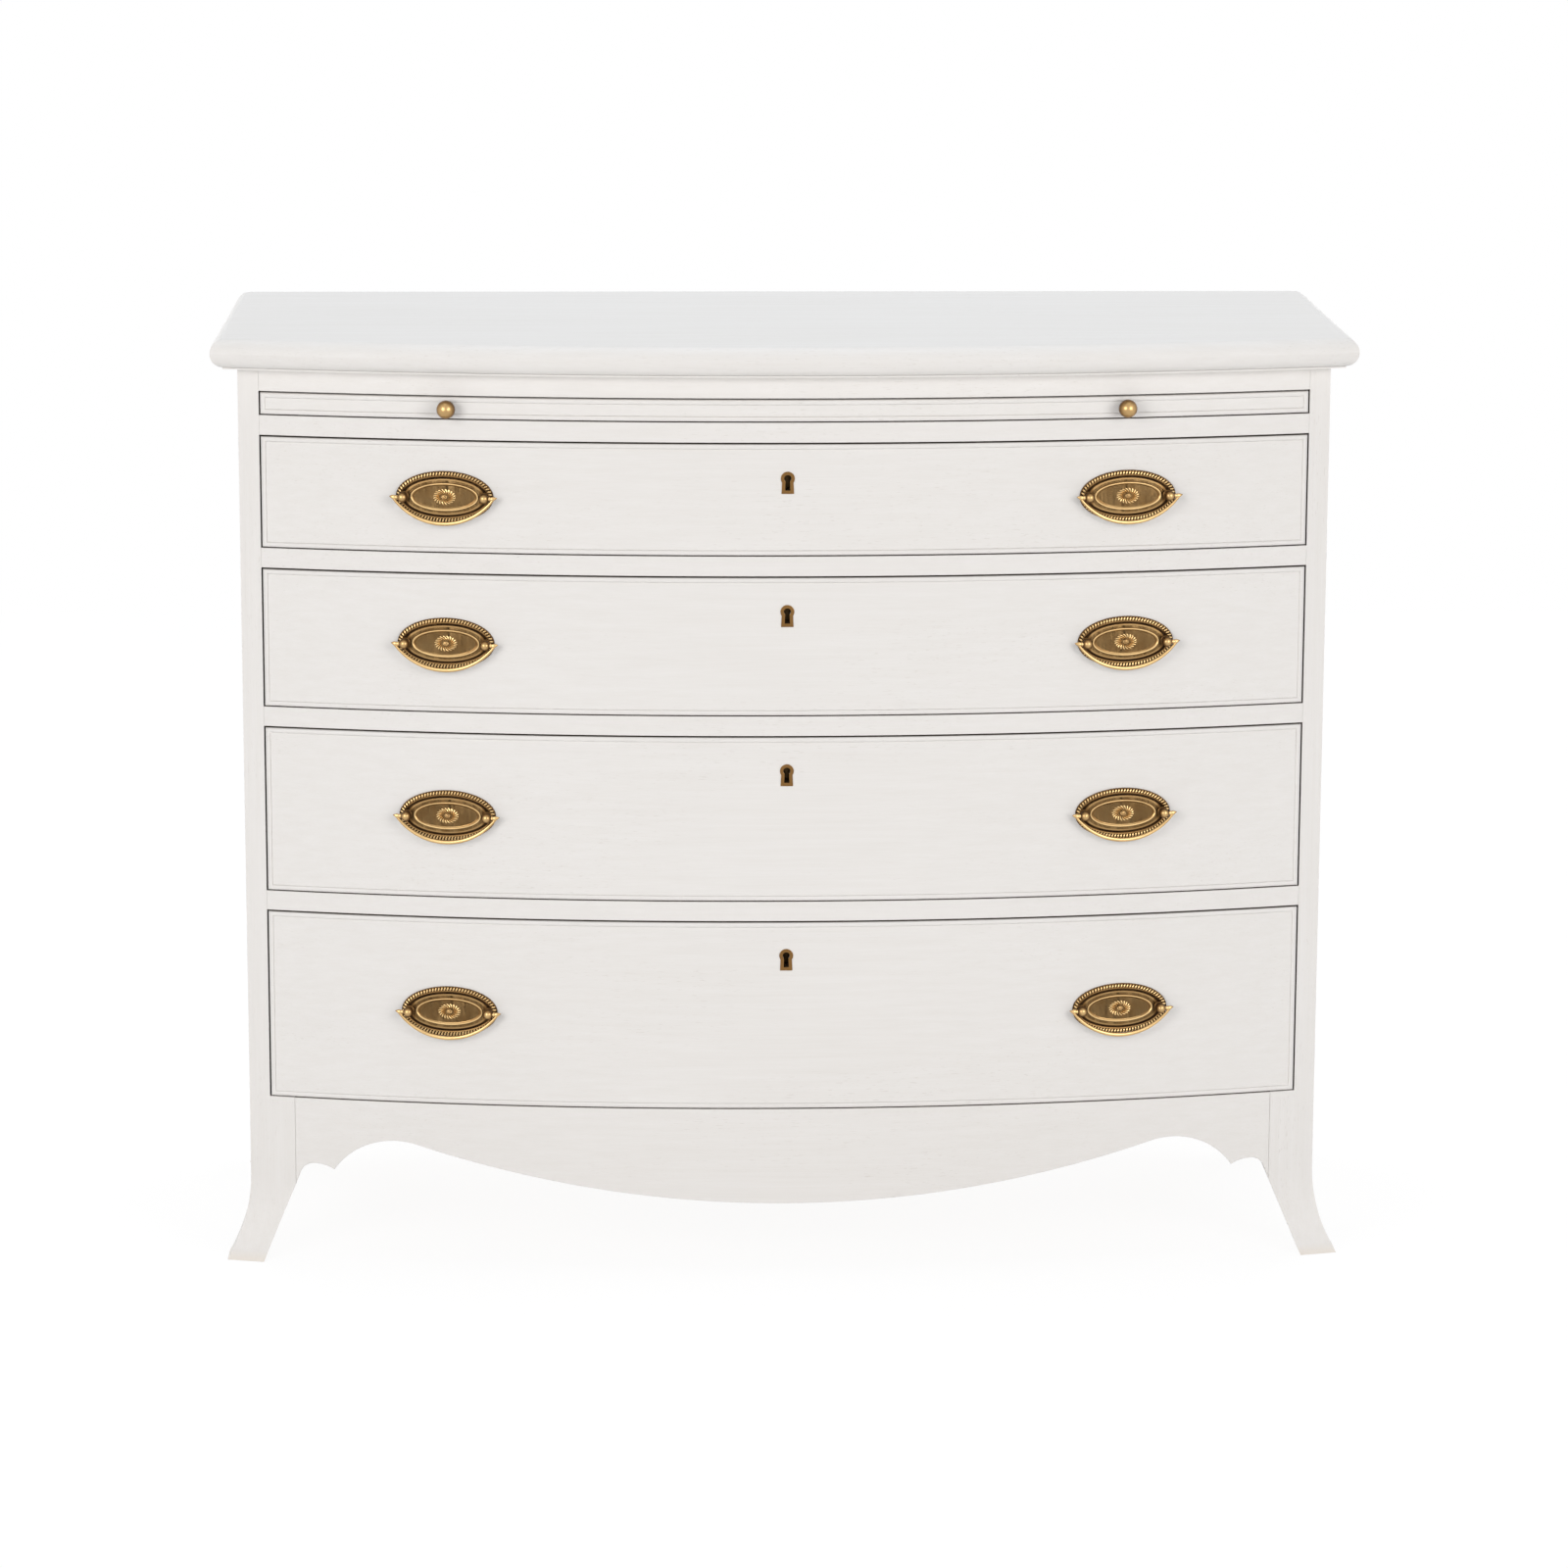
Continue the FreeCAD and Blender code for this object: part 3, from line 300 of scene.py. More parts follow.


# %% [markdown]
# ## White paint over open-grained timber
#
# The chest is brushed with a warm satin white. Close up the paint isn't flat: the brush leaves
# faint ridges along each board, and the pores of the timber show as short dashes. Both run with
# the board, so the same finish is made with its pattern drawn out along X, for fronts, rails
# and the top, and along Z, for posts and side panels. A third one stops just behind the bow:
# the edges inside an opening stay bare timber, with a painted shade of dark brown that fades out
# between 6 and 16 mm in, and that draws the dark line round a drawer.

# %% Paint
PAINT = tint(237, 234, 231)
PAINT_SHADE = tint(229, 225, 220)
PORE = tint(205, 198, 190)
CREAM = tint(238, 224, 205)                 # creamier paint in the lowest few mm, by the floor
CREAM_HEIGHT = 9 * MM
# Painted shade: a dark brown laid on the bare timber just inside each opening, for the shade in the gaps round a
# drawer.
GAP_SHADE = tint(74, 66, 58)
GAP_SHADE_FROM, GAP_SHADE_TO = 6 * MM, 16 * MM      # behind the edge of the paint
PAINT_FADE = 0.4 * MM
TIMBER = tint(214, 184, 143)
TIMBER_DARK = tint(186, 148, 104)
BRUSH_MARK, BRISTLE_MARK = (160 * MM, 5 * MM), (70 * MM, 1.1 * MM)      # length and width
PORE_DASH, PATCH, CLOUD = (9 * MM, 0.9 * MM), (300 * MM, 60 * MM), (400 * MM, 140 * MM)


def painted(name, along, bare_behind=None):
    """White paint; bare timber a distance behind the bow, where a brush doesn't reach, with a painted shade of
    dark brown on it just inside.
    """
    finish = Finish(name)
    brush = finish.streaks(along, *BRUSH_MARK, detail=4.0)
    bristle = finish.streaks(along, *BRISTLE_MARK)
    dashes = finish.streaks(along, *PORE_DASH, detail=1.0)
    patches = finish.streaks(along, *PATCH)
    pores = finish.ramp(dashes, 0.66, 0.74) * finish.ramp(patches, 0.45, 0.62)
    cloud = finish.streaks(along, *CLOUD)
    shade = finish.ramp(brush * 0.5 + bristle * 0.3 + cloud * 0.2, 0.3, 0.9)
    colour = finish.mix(pores * 0.35, finish.mix(shade, PAINT, PAINT_SHADE), PORE)
    height = finish.add("SeparateXYZ", inputs={"Vector": finish.place()}, output="Z")
    colour = finish.mix(finish.ramp(height, CREAM_HEIGHT, 0) * 0.4, colour, CREAM)
    if bare_behind is not None:
        from_axis = finish.place(scale=(1, 1, 0), shift=(0, -BOW_AXIS, 0))
        reach = finish.add("VectorMath", {"operation": "LENGTH"}, {0: from_axis}, output="Value")
        edge = BOW_RADIUS - bare_behind
        # Painted shade: fully dark from 6 mm behind the paint's edge, fading out by 16 mm.
        gap_shade = finish.ramp(reach, edge - GAP_SHADE_TO, edge - GAP_SHADE_FROM) * 0.85
        inside = finish.mix(gap_shade, finish.mix(brush, TIMBER, TIMBER_DARK), GAP_SHADE)
        colour = finish.mix(finish.ramp(reach, edge, edge - PAINT_FADE), colour, inside)
    return finish.surface({"Base Color": colour, "Roughness": brush * 0.14 + 0.4,
                           "Specular IOR Level": 0.3},
                          height=brush * 0.5 + bristle * 0.35 - pores * 0.6, depth=0.12 * MM)


paint_across = painted("white_paint_across", "x")
paint_upright = painted("white_paint_upright", "z")
paint_on_face = painted("white_paint_on_face", "x", bare_behind=1.2 * MM)

# %% [markdown]
# ## Bare timber inside
#
# Only what shows is painted. Drawer boxes, runners and the boards underneath are pale timber,
# planed and waxed. Its rings are stretched noise that is folded into bands, and fine fibres run
# along each board. Drawer sides run from front to back and the other boards run across, so this
# finish also comes in two directions, chosen face by face.

# %% Timber
TIMBER_FIBRE = tint(160, 122, 82)
RING, FIBRE, FLECK = (700 * MM, 45 * MM), (90 * MM, 0.8 * MM), (14 * MM, 0.7 * MM)
RING_BANDS = 60.0


def timber(name, along):
    finish = Finish(name)
    rings = finish.streaks(along, *RING, detail=1.5, distortion=0.4)
    bands = finish.add("Math", {"operation": "SINE"}, {0: rings * RING_BANDS}) * 0.5 + 0.5
    fibre = finish.streaks(along, *FIBRE)
    flecks = finish.ramp(finish.streaks(along, *FLECK, detail=1.0), 0.62, 0.72)
    colour = finish.mix(bands * 0.55 + fibre * 0.25, TIMBER, TIMBER_DARK)
    colour = finish.mix(flecks * 0.5, colour, TIMBER_FIBRE)
    return finish.surface({"Base Color": colour, "Roughness": fibre * 0.2 + 0.45},
                          height=fibre * 0.6 + bands * 0.2 - flecks * 0.4, depth=0.1 * MM)


timber_across = timber("bare_timber_across", "x")
timber_deep = timber("bare_timber_deep", "y")

# %% [markdown]
# ## Antique brass and steel
#
# The handles are cast brass that was dipped dark and rubbed bright again, so hollows stay brown
# and everything that a cloth reaches is golden. Each brass mesh also carries a number at every
# point for how dark it is, both that brown and painted shade and highlights, and the finish reads it.

# %% Brass and steel
BRASS = tint(138, 103, 61)
BRASS_RUBBED_AND_HIGHLIGHT = tint(236, 200, 142)
BRASS_DIPPED_AND_SHADE = tint(50, 34, 21)
BRASS_CLOUD, BRASS_SPOT = 14 * MM, 1.2 * MM
STEEL, STEEL_DULL = tint(186, 186, 184), tint(150, 148, 142)


def antique_brass(name, dipped_and_shaded, rubbed):
    """Brass that was dipped and rubbed, each more or less; each mesh's own number adds painted shade and
    highlights.
    """
    finish = Finish(name)
    patina_and_shade = finish.add("Attribute", {"attribute_name": "patina_and_shade"}, output="Fac")
    cloud = finish.noise((1 / BRASS_CLOUD,) * 3, detail=3.0)
    spots = finish.ramp(finish.noise((1 / BRASS_SPOT,) * 3), 0.58, 0.72)
    # Painted shade and highlights: the number each mesh carries, with its real patina, darkens towards the dark
    # colour and brightens towards the rubbed one.
    dark = finish.ramp(patina_and_shade + cloud * 0.4 + dipped_and_shaded, 0.36, 1.1) + spots * 0.06
    bright = finish.ramp(cloud * 0.5 - patina_and_shade * 1.6 + rubbed, -0.4, 0.55)
    colour = finish.mix(dark, finish.mix(bright, BRASS, BRASS_RUBBED_AND_HIGHLIGHT), BRASS_DIPPED_AND_SHADE)
    return finish.surface({"Base Color": colour, "Metallic": 1.0,
                           "Roughness": finish.ramp(dark + cloud * 0.3, 0, 1.6) * 0.3 + 0.28},
                          height=cloud * 0.1 + spots * 0.03, depth=0.1 * MM)


brass = antique_brass("antique_brass", dipped_and_shaded=0.0, rubbed=0.0)
brass_knob = antique_brass("antique_brass_knobs", dipped_and_shaded=-0.05, rubbed=-0.15)
brass_key = antique_brass("antique_brass_key_plates", dipped_and_shaded=0.25, rubbed=-0.8)
# Painted shade: the locks are darkened further so that the inside of each keyhole reads dark.
brass_lock = antique_brass("antique_brass_locks", dipped_and_shaded=0.75, rubbed=-0.2)


def bright_steel():
    finish = Finish("bright_steel")
    cloud = finish.noise((1 / (4 * MM),) * 3, detail=3.0)
    lines = finish.streaks("z", 30 * MM, 0.4 * MM)
    colour = finish.mix(finish.ramp(cloud, 0.4, 0.7), STEEL, STEEL_DULL)
    return finish.surface({"Base Color": colour, "Metallic": 1.0,
                           "Roughness": cloud * 0.3 + 0.2}, height=lines, depth=0.05 * MM)


steel = bright_steel()

# %% [markdown]
# ## Handing a mesh in
#
# Whatever is made for a node goes through one door. It makes the object, smooths the shading
# between its sharp edges, lets it ride on the node's body and hides the node that it stands for.
# Large flat faces get their shading from their own size, so that bevels stay crisp.

# %% Turn a bmesh into a piece
def as_mesh(bm, name):
    mesh = bpy.data.meshes.new(name)
    bm.to_mesh(mesh)
    bm.free()
    return mesh


def in_scene(name, data):
    """An object for a mesh, a light or a camera, put in the scene."""
    thing = bpy.data.objects.new(name, data)
    bpy.context.scene.collection.objects.link(thing)
    return thing


def face_outwards(bm):
    bmesh.ops.recalc_face_normals(bm, faces=bm.faces)


def finished(bm, node, *materials, name=None, choose=None, smooth=32):
    """Stand a finished mesh in a node's place; choose gives the material of a face."""
    name = name or "finished_" + node
    if choose:
        for face in bm.faces:
            face.material_index = choose(face)
    mesh = as_mesh(bm, name)
    for material in materials:
        mesh.materials.append(material)
    mesh.shade_smooth()
    mesh.set_sharp_from_angle(angle=math.radians(smooth))
    piece = in_scene(name, mesh)
    crisp = piece.modifiers.new("crisp_bevels", "WEIGHTED_NORMAL")
    crisp.keep_sharp = True
    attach(piece, body_of[node])
    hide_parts(node)
    print(f"{name}: {len(mesh.polygons)} faces")


def eased(node, *materials, size=0.6 * MM, choose=None):
    """A construction node with its sharp edges rounded over."""
    bm = copy_of(node)
    ease(bm, size)
    finished(bm, node, *materials, choose=choose)


# %% [markdown]
# ## The top
#
# The top is one board whose front and sides are rounded over their whole thickness, a bullnose.
# A bevel almost as large as half the board makes that shape, and where the front and a side meet
# it leaves a mitre, as a router does. Only the front is bent, and the back stays straight.

# %% Top board
top_low, top_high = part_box("top_board")
TOP_OVERHANG = FRONT - top_low.y
NOSE = (top_high.z - top_low.z) / 2


def make_top_board():
    bm = bmesh.new()
    depth = top_high.y - FRONT
    block(bm, (top_low.x, -TOP_OVERHANG, top_low.z), (top_high.x, depth, top_high.z))
    nosed = []
    for edge in bm.edges:
        upright = abs(edge.verts[0].co.z - edge.verts[1].co.z) > NOSE
        at_back = all(vert.co.y > 0 for vert in edge.verts)
        if not upright and not at_back:
            nosed.append(edge)
    ease(bm, NOSE * 0.995, edges=nosed, segments=9)
    ease(bm, 0.6 * MM, edges=[edge for edge in sharp_edges(bm, 60)
                              if all(vert.co.y > depth - MM for vert in edge.verts)])
    slice_board(bm)
    bend(bm, depth=NOSE)
    finished(bm, "top_board", paint_across)


make_top_board()

# %% [markdown]
# ## The strips under the top
#
# A thin strip stands out between the case and the top, and draws a fine shadow line there. The
# front strip is bent, the side strips run back from it, and one more closes the back.

# %% Strips
moulding_low, moulding_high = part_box("top_moulding")
STRIP_PROJECTION = FRONT - moulding_low.y
STRIP_WIDTH = 32.5 * MM


def make_top_strips():
    bm = bmesh.new()
    low, high = moulding_low.z, moulding_high.z
    inner = STRIP_WIDTH - STRIP_PROJECTION
    back = moulding_high.y - FRONT
    block(bm, (moulding_low.x, -STRIP_PROJECTION, low), (moulding_high.x, inner, high))
    ease(bm, 0.3 * MM)
    slice_board(bm)
    side = moulding_high.x - STRIP_WIDTH
    for x in (-moulding_high.x, side):
        block(bm, (x, inner, low), (x + STRIP_WIDTH, back, high))
    block(bm, (-side, back - STRIP_WIDTH, low), (side, back, high))
    bend(bm, depth=inner + MM / 10)
    finished(bm, "top_moulding", paint_across)


make_top_strips()

# %% [markdown]
# ## The rails
#
# The rails between the openings have a bowed front and a straight back. A square pocket under
# each one takes the bolt of the lock below it. It is sunk into the finished rail: cut the face
# round the bolt, and push what lies inside upwards.

# %% Rails
GAP_ABOVE, GAP_BELOW = 1.5 * MM, 1.2 * MM       # round a drawer front
RAIL_DEPTH, TOP_RAIL_DEPTH, BACK_RAIL_DEPTH = 120 * MM, 90 * MM, 22 * MM
BOLT_ROOM = 1.5 * MM
BOLT_THROW = 9 * MM
rails_low, rails_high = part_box("drawer_rails")
top_rail_low, top_rail_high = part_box("top_rails")
slide_low, slide_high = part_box("slide_front")


def bowed_rail(bm, depth, low, high):
    """One rail: a straight board whose front alone is bent."""
    rail = bmesh.new()
    block(rail, (rails_low.x, 0, low), (rails_high.x, depth, high))
    ease(rail, 0.5 * MM)
    slice_board(rail)
    bend(rail, depth=depth / 2)
    mesh = as_mesh(rail, "rail")
    bm.from_mesh(mesh)
    bpy.data.meshes.remove(mesh)


def make_rails():
    bm = bmesh.new()
    for level in DRAWERS:
        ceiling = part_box(f"drawer_{level}_front")[1].z + GAP_ABOVE
        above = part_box(f"drawer_{level - 1}_front")[0] if level > 1 else slide_low
        bowed_rail(bm, RAIL_DEPTH, ceiling, above.z - GAP_BELOW)
        bolt_low, bolt_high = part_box(f"lock_bolt_{level}")
        room = Vector((BOLT_ROOM, BOLT_ROOM, 2 * GAP_ABOVE))
        pocket(bm, bolt_low - room, bolt_high + room, axis=2, depth=BOLT_THROW)
    finished(bm, "drawer_rails", paint_on_face)
    bm = bmesh.new()
    bowed_rail(bm, TOP_RAIL_DEPTH, top_rail_low.z, top_rail_high.z)
    block(bm, (top_rail_low.x, top_rail_high.y - BACK_RAIL_DEPTH, top_rail_low.z), top_rail_high)
    finished(bm, "top_rails", paint_across)


make_rails()

# %% [markdown]
# ## The apron
#
# Between the feet hangs a shaped rail: a long lobe, an arch on each side, a small point and a
# nook beside the foot. A fretsaw's line is arcs run together, so one vertex is spun round each
# arc's middle in turn and leaves the edge behind it. That line is drawn upwards into a sheet,
# mirrored, given its thickness and bent. Its top edge lies under the lowest drawer, so it takes
# the paint that stops behind the bow.

# %% Apron
apron_low, apron_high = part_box("front_apron")
APRON_THICKNESS = 20 * MM
ARCH_TOP, ARCH_RADIUS, ARCH_TO_FOOT = 119 * MM, 70 * MM, 95 * MM
POINT_TO_FOOT = 37 * MM
NOOK_TOP, NOOK_RADIUS, NOOK_TO_FOOT = 93.5 * MM, 14 * MM, 18 * MM
FOOT_INSIDE_TOP = 72 * MM
FOOT_LEAN = math.atan2(30.5 * MM, FOOT_INSIDE_TOP)


def spun_on(bm, vert, centre_x, centre_z, angle, steps):
    """Spin a vertex round a middle, clockwise as seen from the front; the last one is returned."""
    spun = bmesh.ops.spin(bm, geom=[vert], cent=(centre_x, 0, centre_z), axis=(0, 1, 0),
                          angle=angle, steps=steps)
    return verts_among(spun["geom_last"])[0]


def make_apron():
    bm = bmesh.new()
    foot = apron_high.x
    arch = foot - ARCH_TO_FOOT
    arch_middle = ARCH_TOP - ARCH_RADIUS
    swing = 2 * math.atan((ARCH_TOP - apron_low.z) / arch)
    lobe = arch / math.sin(swing) - ARCH_RADIUS
    to_point = math.asin((ARCH_TO_FOOT - POINT_TO_FOOT) / ARCH_RADIUS)
    point_z = arch_middle + ARCH_RADIUS * math.cos(to_point)
    run, rise = POINT_TO_FOOT - NOOK_TO_FOOT, NOOK_TOP - point_z
    step_radius = (run ** 2 + rise ** 2) / (2 * rise)
    nook = foot - NOOK_TO_FOOT
    vert = bm.verts.new((0, 0, apron_low.z))
    vert = spun_on(bm, vert, 0, apron_low.z + lobe, -swing, 24)
    vert = spun_on(bm, vert, arch, arch_middle, swing + to_point, 22)
    vert = spun_on(bm, vert, nook, NOOK_TOP - step_radius, math.asin(run / step_radius), 6)
    vert = spun_on(bm, vert, nook, NOOK_TOP - NOOK_RADIUS, math.pi / 2 - FOOT_LEAN, 10)
    last = bmesh.ops.extrude_vert_indiv(bm, verts=[vert])["verts"][0]
    last.co = (foot, 0, FOOT_INSIDE_TOP)
    raised = bmesh.ops.extrude_edge_only(bm, edges=bm.edges)["geom"]
    for vert in verts_among(raised):
        vert.co.z = apron_high.z
    bmesh.ops.mirror(bm, geom=everything(bm), axis="X", merge_dist=MM / 100)
    sheet = bmesh.ops.extrude_face_region(bm, geom=bm.faces[:])["geom"]
    bmesh.ops.translate(bm, vec=(0, APRON_THICKNESS, 0), verts=verts_among(sheet))
    face_outwards(bm)
    ease(bm, 0.8 * MM, edges=[edge for edge in sharp_edges(bm, 60)
                              if abs(edge.verts[0].co.y - edge.verts[1].co.y) < MM])
    bend(bm)
    print(f"apron: lobe of {lobe:.3f} m radius, point at {point_z / MM:.1f} mm")
    # The top face lies in the gap under the lowest drawer and takes the paint with its painted shade behind the
    # bow.
    finished(bm, "front_apron", paint_across, paint_on_face,
             choose=lambda face: int(face.normal.z > 0.9))


make_apron()

# %% [markdown]
# ## Posts, panels and everything inside the case
#
# These are plain joinery, and the construction already has their shapes. Their copies only get
# eased edges. The posts take the paint that stops behind the bow where they look into the
# openings. Boards that run from front to back, such as runners, take the timber whose grain does
# the same.

# %% Case
OPENING_SIDE = rails_high.x


def beside_drawers(face):
    """The faces of a post that look into the openings."""
    middle = face.calc_center_median()
    return int(abs(face.normal.x) > 0.9 and abs(middle.x) < OPENING_SIDE + MM / 10
               and middle.z > apron_high.z)


# Post faces that look into the openings take the paint with the painted shade of the gaps.
for leg in ("front_left_leg", "front_right_leg", "back_left_leg", "back_right_leg"):
    eased(leg, paint_upright, paint_on_face, size=0.9 * MM, choose=beside_drawers)
for panel in ("left_side_panel", "right_side_panel"):
    eased(panel, paint_upright)
eased("back_panel", paint_upright, size=0.4 * MM)
eased("bottom_board", timber_across)
eased("drawer_runners", timber_deep)
eased("drawer_stops", timber_across)
eased("corner_blocks", timber_deep)
eased("slide_board", paint_across)

# %% [markdown]
# ## The screws in the back
#
# The back panel is held by slotted screws. Nobody turns twenty screws to the same angle, so each
# slot stands where the screw happened to stop. One screw is turned from its profile, slotted,
# and stamped wherever the frame has one.

# %% Screws
SCREW_HEAD, SCREW_SHANK, SCREW_LENGTH = 3.5 * MM, 1.75 * MM, 20 * MM
SCREW_RIM = 0.2 * MM
SLOT_WIDTH, SLOT_DEPTH = 1.0 * MM, 0.9 * MM
GOLDEN_TURN = math.radians(137.5)


def turned(bm, profile, steps, middle_x=0):
    """Turn a profile of (radius, depth) corners round an axis along Y."""
    verts = [bm.verts.new((middle_x + radius, depth, 0)) for radius, depth in profile]
    edges = [bm.edges.new(pair) for pair in zip(verts, verts[1:])]
    bmesh.ops.spin(bm, geom=verts + edges, cent=(middle_x, 0, 0), axis=(0, 1, 0),
                   angle=math.tau, steps=steps, use_merge=True)
    bmesh.ops.remove_doubles(bm, verts=bm.verts, dist=MM / 1000)


def stamped(node, mesh, places, material, smooth=32):
    """A piece made of copies of one mesh, each moved by a matrix."""
    bm = bmesh.new()
    for place in places:
        before = len(bm.verts)
        bm.from_mesh(mesh)
        bm.verts.ensure_lookup_table()
        bmesh.ops.transform(bm, matrix=place, verts=bm.verts[before:])
    finished(bm, node, material, smooth=smooth)


def middle_of(corners):
    """The middle of the box round some corners."""
    return Vector([sum(function(vert.co[i] for vert in corners) for function in (min, max)) / 2
                   for i in range(3)])


def make_screws():
    bm = bmesh.new()
    neck = SCREW_SHANK - SCREW_HEAD
    turned(bm, [(0, 0), (SCREW_HEAD - SCREW_RIM, 0), (SCREW_HEAD, -SCREW_RIM),
                (SCREW_SHANK, neck), (SCREW_SHANK, -SCREW_LENGTH + SCREW_SHANK),
                (0, -SCREW_LENGTH)], steps=24)
    face_outwards(bm)
    pocket(bm, (-SCREW_HEAD, -MM / 10, -SLOT_WIDTH / 2), (SCREW_HEAD, MM / 10, SLOT_WIDTH / 2),
           axis=1, depth=-SLOT_DEPTH)
    master = as_mesh(bm, "screw")
    bm = bmesh.new()
    bm.from_mesh(nodes["back_screws"].data)
    spots = sorted((middle_of(corners) for corners in solids_in(bm)),
                   key=lambda spot: (round(spot.z, 3), spot.x))
    bm.free()
    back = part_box("back_screws")[1].y
    print(f"{len(spots)} screws")
    stamped("back_screws", master, [Matrix.Translation((spot.x, back, spot.z)) @
                                    Matrix.Rotation(count * GOLDEN_TURN, 4, "Y")
                                    for count, spot in enumerate(spots)], steel)


make_screws()

# %% [markdown]
# ## Fronts
#
# A front is a slab with a raised field: inset its face by the width of the bead, and draw the
# inside forward. The step that is left all round is the rebate for the bead. What is let into
# the wood, such as the lock, the dovetails and the keyhole, is taken out with a Boolean, because
# it has to fit exactly.

# %% Field, rebate and cuts
BEAD_WIDTH, BEAD_DEPTH, BEAD_PROUD = 4.5 * MM, 8 * MM, 1.2 * MM
BOARD_THICKNESS = 20 * MM
KEYHOLE_RADIUS = 3.25 * MM
KEYHOLE_SLOT = (3.9 * MM, 4.7 * MM)         # width at the top and at the bottom
KEYHOLE_SLOT_LENGTH = 10.95 * MM
KEYHOLE_DROP = 31.5 * MM


def forward_face(bm):
    """The face that looks forward, from furthest in front."""
    return min((face for face in bm.faces if face.normal.y < -0.99),
               key=lambda face: face.calc_center_median().y)


def front_board(low, high):
    """A bent board with a rebate round its face; corners give its width and height."""
    bm = bmesh.new()
    block(bm, (low.x, BEAD_DEPTH, low.z), (high.x, BOARD_THICKNESS, high.z))
    field = forward_face(bm)
    bmesh.ops.inset_region(bm, faces=[field], thickness=BEAD_WIDTH, use_even_offset=True)
    draw_out(bm, [field], (0, -BEAD_DEPTH, 0))
    ease(bm, 0.3 * MM, edges=forward_face(bm).edges[:])
    slice_board(bm)
    bend(bm)
    return bm


FROM_Z_TO_Y = Matrix.Rotation(math.pi / 2, 4, "X")


def cutter(bm, name):
    """A solid that takes its shape out of another, and is never shown."""
    return in_scene(name, as_mesh(bm, name))


def rod(bm, sides, radius, length, middle, turn=FROM_Z_TO_Y, far_radius=None):
    """A closed rod or cone, along Y unless it is turned otherwise."""
    return bmesh.ops.create_cone(bm, cap_ends=True, segments=sides, radius1=radius,
                                 radius2=radius if far_radius is None else far_radius,
                                 depth=length, matrix=Matrix.Translation(middle) @ turn)["verts"]


def keyhole_cutters(height):
    """The round part and the slot of a keyhole, from before a front to inside its lock."""
    near, far = FRONT - 2 * BEAD_PROUD, FRONT + BOARD_THICKNESS
    round_part = bmesh.new()
    rod(round_part, 40, KEYHOLE_RADIUS, far - near, middle=(0, (near + far) / 2, height))
    slot = bmesh.new()
    half_top, half_bottom = (width / 2 for width in KEYHOLE_SLOT)
    for vert in block(slot, (-half_top, near, height - KEYHOLE_SLOT_LENGTH),
                      (half_top, far, height)):
        if vert.co.z < height:
            vert.co.x *= half_bottom / half_top
    return [cutter(round_part, "keyhole_round"), cutter(slot, "keyhole_slot")]


def without(bm, cutters):
    """What a mesh is once solids are taken out of it."""
    whole = cutter(bm, "whole")
    for solid in cutters:
        step = whole.modifiers.new("cut", "BOOLEAN")
        step.operation, step.solver, step.use_self = "DIFFERENCE", "EXACT", True
        step.object = solid
    evaluated = whole.evaluated_get(bpy.context.evaluated_depsgraph_get())
    left = bmesh.new()
    left.from_mesh(evaluated.to_mesh())
    evaluated.to_mesh_clear()
    for done in [whole] + cutters:
        bpy.data.objects.remove(done)
    return left


# %% [markdown]
# ## Cock beads
#
# A thin bead is let in round each front and stands a little proud of it, which saves the edges
# from knocks and draws the fine line that frames each drawer. Its nose is an arc. Insetting the
# face several times, a little further and a little higher each time, walks over that arc, and
# the corners mitre themselves.

# %% Beads
NOSE_STEPS = 6
NOSE_RADIUS = (BEAD_WIDTH ** 2 / 4 + BEAD_PROUD ** 2) / (2 * BEAD_PROUD)


def nose_at(step):
    """How far across the bead, and how proud, its nose is at a step."""
    reach = math.asin(BEAD_WIDTH / 2 / NOSE_RADIUS)
    angle = reach * (2 * step / NOSE_STEPS - 1)
    return (BEAD_WIDTH / 2 + NOSE_RADIUS * math.sin(angle),
            NOSE_RADIUS * math.cos(angle) - NOSE_RADIUS + BEAD_PROUD)


def bead_frame(low, high):
    """A bead all round a front; corners give its width and height."""
    bm = bmesh.new()
    block(bm, (low.x, 0, low.z), (high.x, BEAD_DEPTH, high.z))
    face = forward_face(bm)
    for step in range(NOSE_STEPS):
        (across, proud), (next_across, next_proud) = nose_at(step), nose_at(step + 1)
        bmesh.ops.inset_region(bm, faces=[face], thickness=next_across - across,
                               depth=next_proud - proud, use_even_offset=True)
    back = max(bm.faces, key=lambda face: face.calc_center_median().y)
    bmesh.ops.inset_region(bm, faces=[back], thickness=BEAD_WIDTH, use_even_offset=True)
    rims = face.edges[:] + back.edges[:]
    bmesh.ops.delete(bm, geom=[face, back], context="FACES_ONLY")
    bmesh.ops.bridge_loops(bm, edges=rims)
    face_outwards(bm)
    slice_board(bm)
    bend(bm)
    return bm


# %% [markdown]
# ## The brushing slide
#
# A narrow front with its own bead hides the edge of a board that draws out above the top drawer.
# Two small brass balls pull it. They are turned on a lathe, and so is the mesh: half a profile,
# spun once round.

# %% Slide and knobs
finished(front_board(slide_low, slide_high), "slide_front", paint_across)
finished(bead_frame(slide_low, slide_high), "slide_front", paint_across,
         name="finished_slide_bead", smooth=50)

KNOB_SPACING = 622 * MM
KNOB_BALL, KNOB_STANDOFF, KNOB_NECK = 8.5 * MM, 12.5 * MM, 3.2 * MM
KNOB_FOOT = ((3.0, -3.2), (3.4, -2.3), (4.5, -1.6), (4.8, -1.1), (4.8, 0), (3, 0), (3, 12),
             (0, 12))                       # radius and depth in mm, to the end of the screw


def on_bow(x, z):
    """The place on the bow at a distance from the middle, square to the front."""
    return (Matrix.Translation((x, bow(x), z)) @
            Matrix.Rotation(math.asin(x / BOW_RADIUS), 4, "Z"))


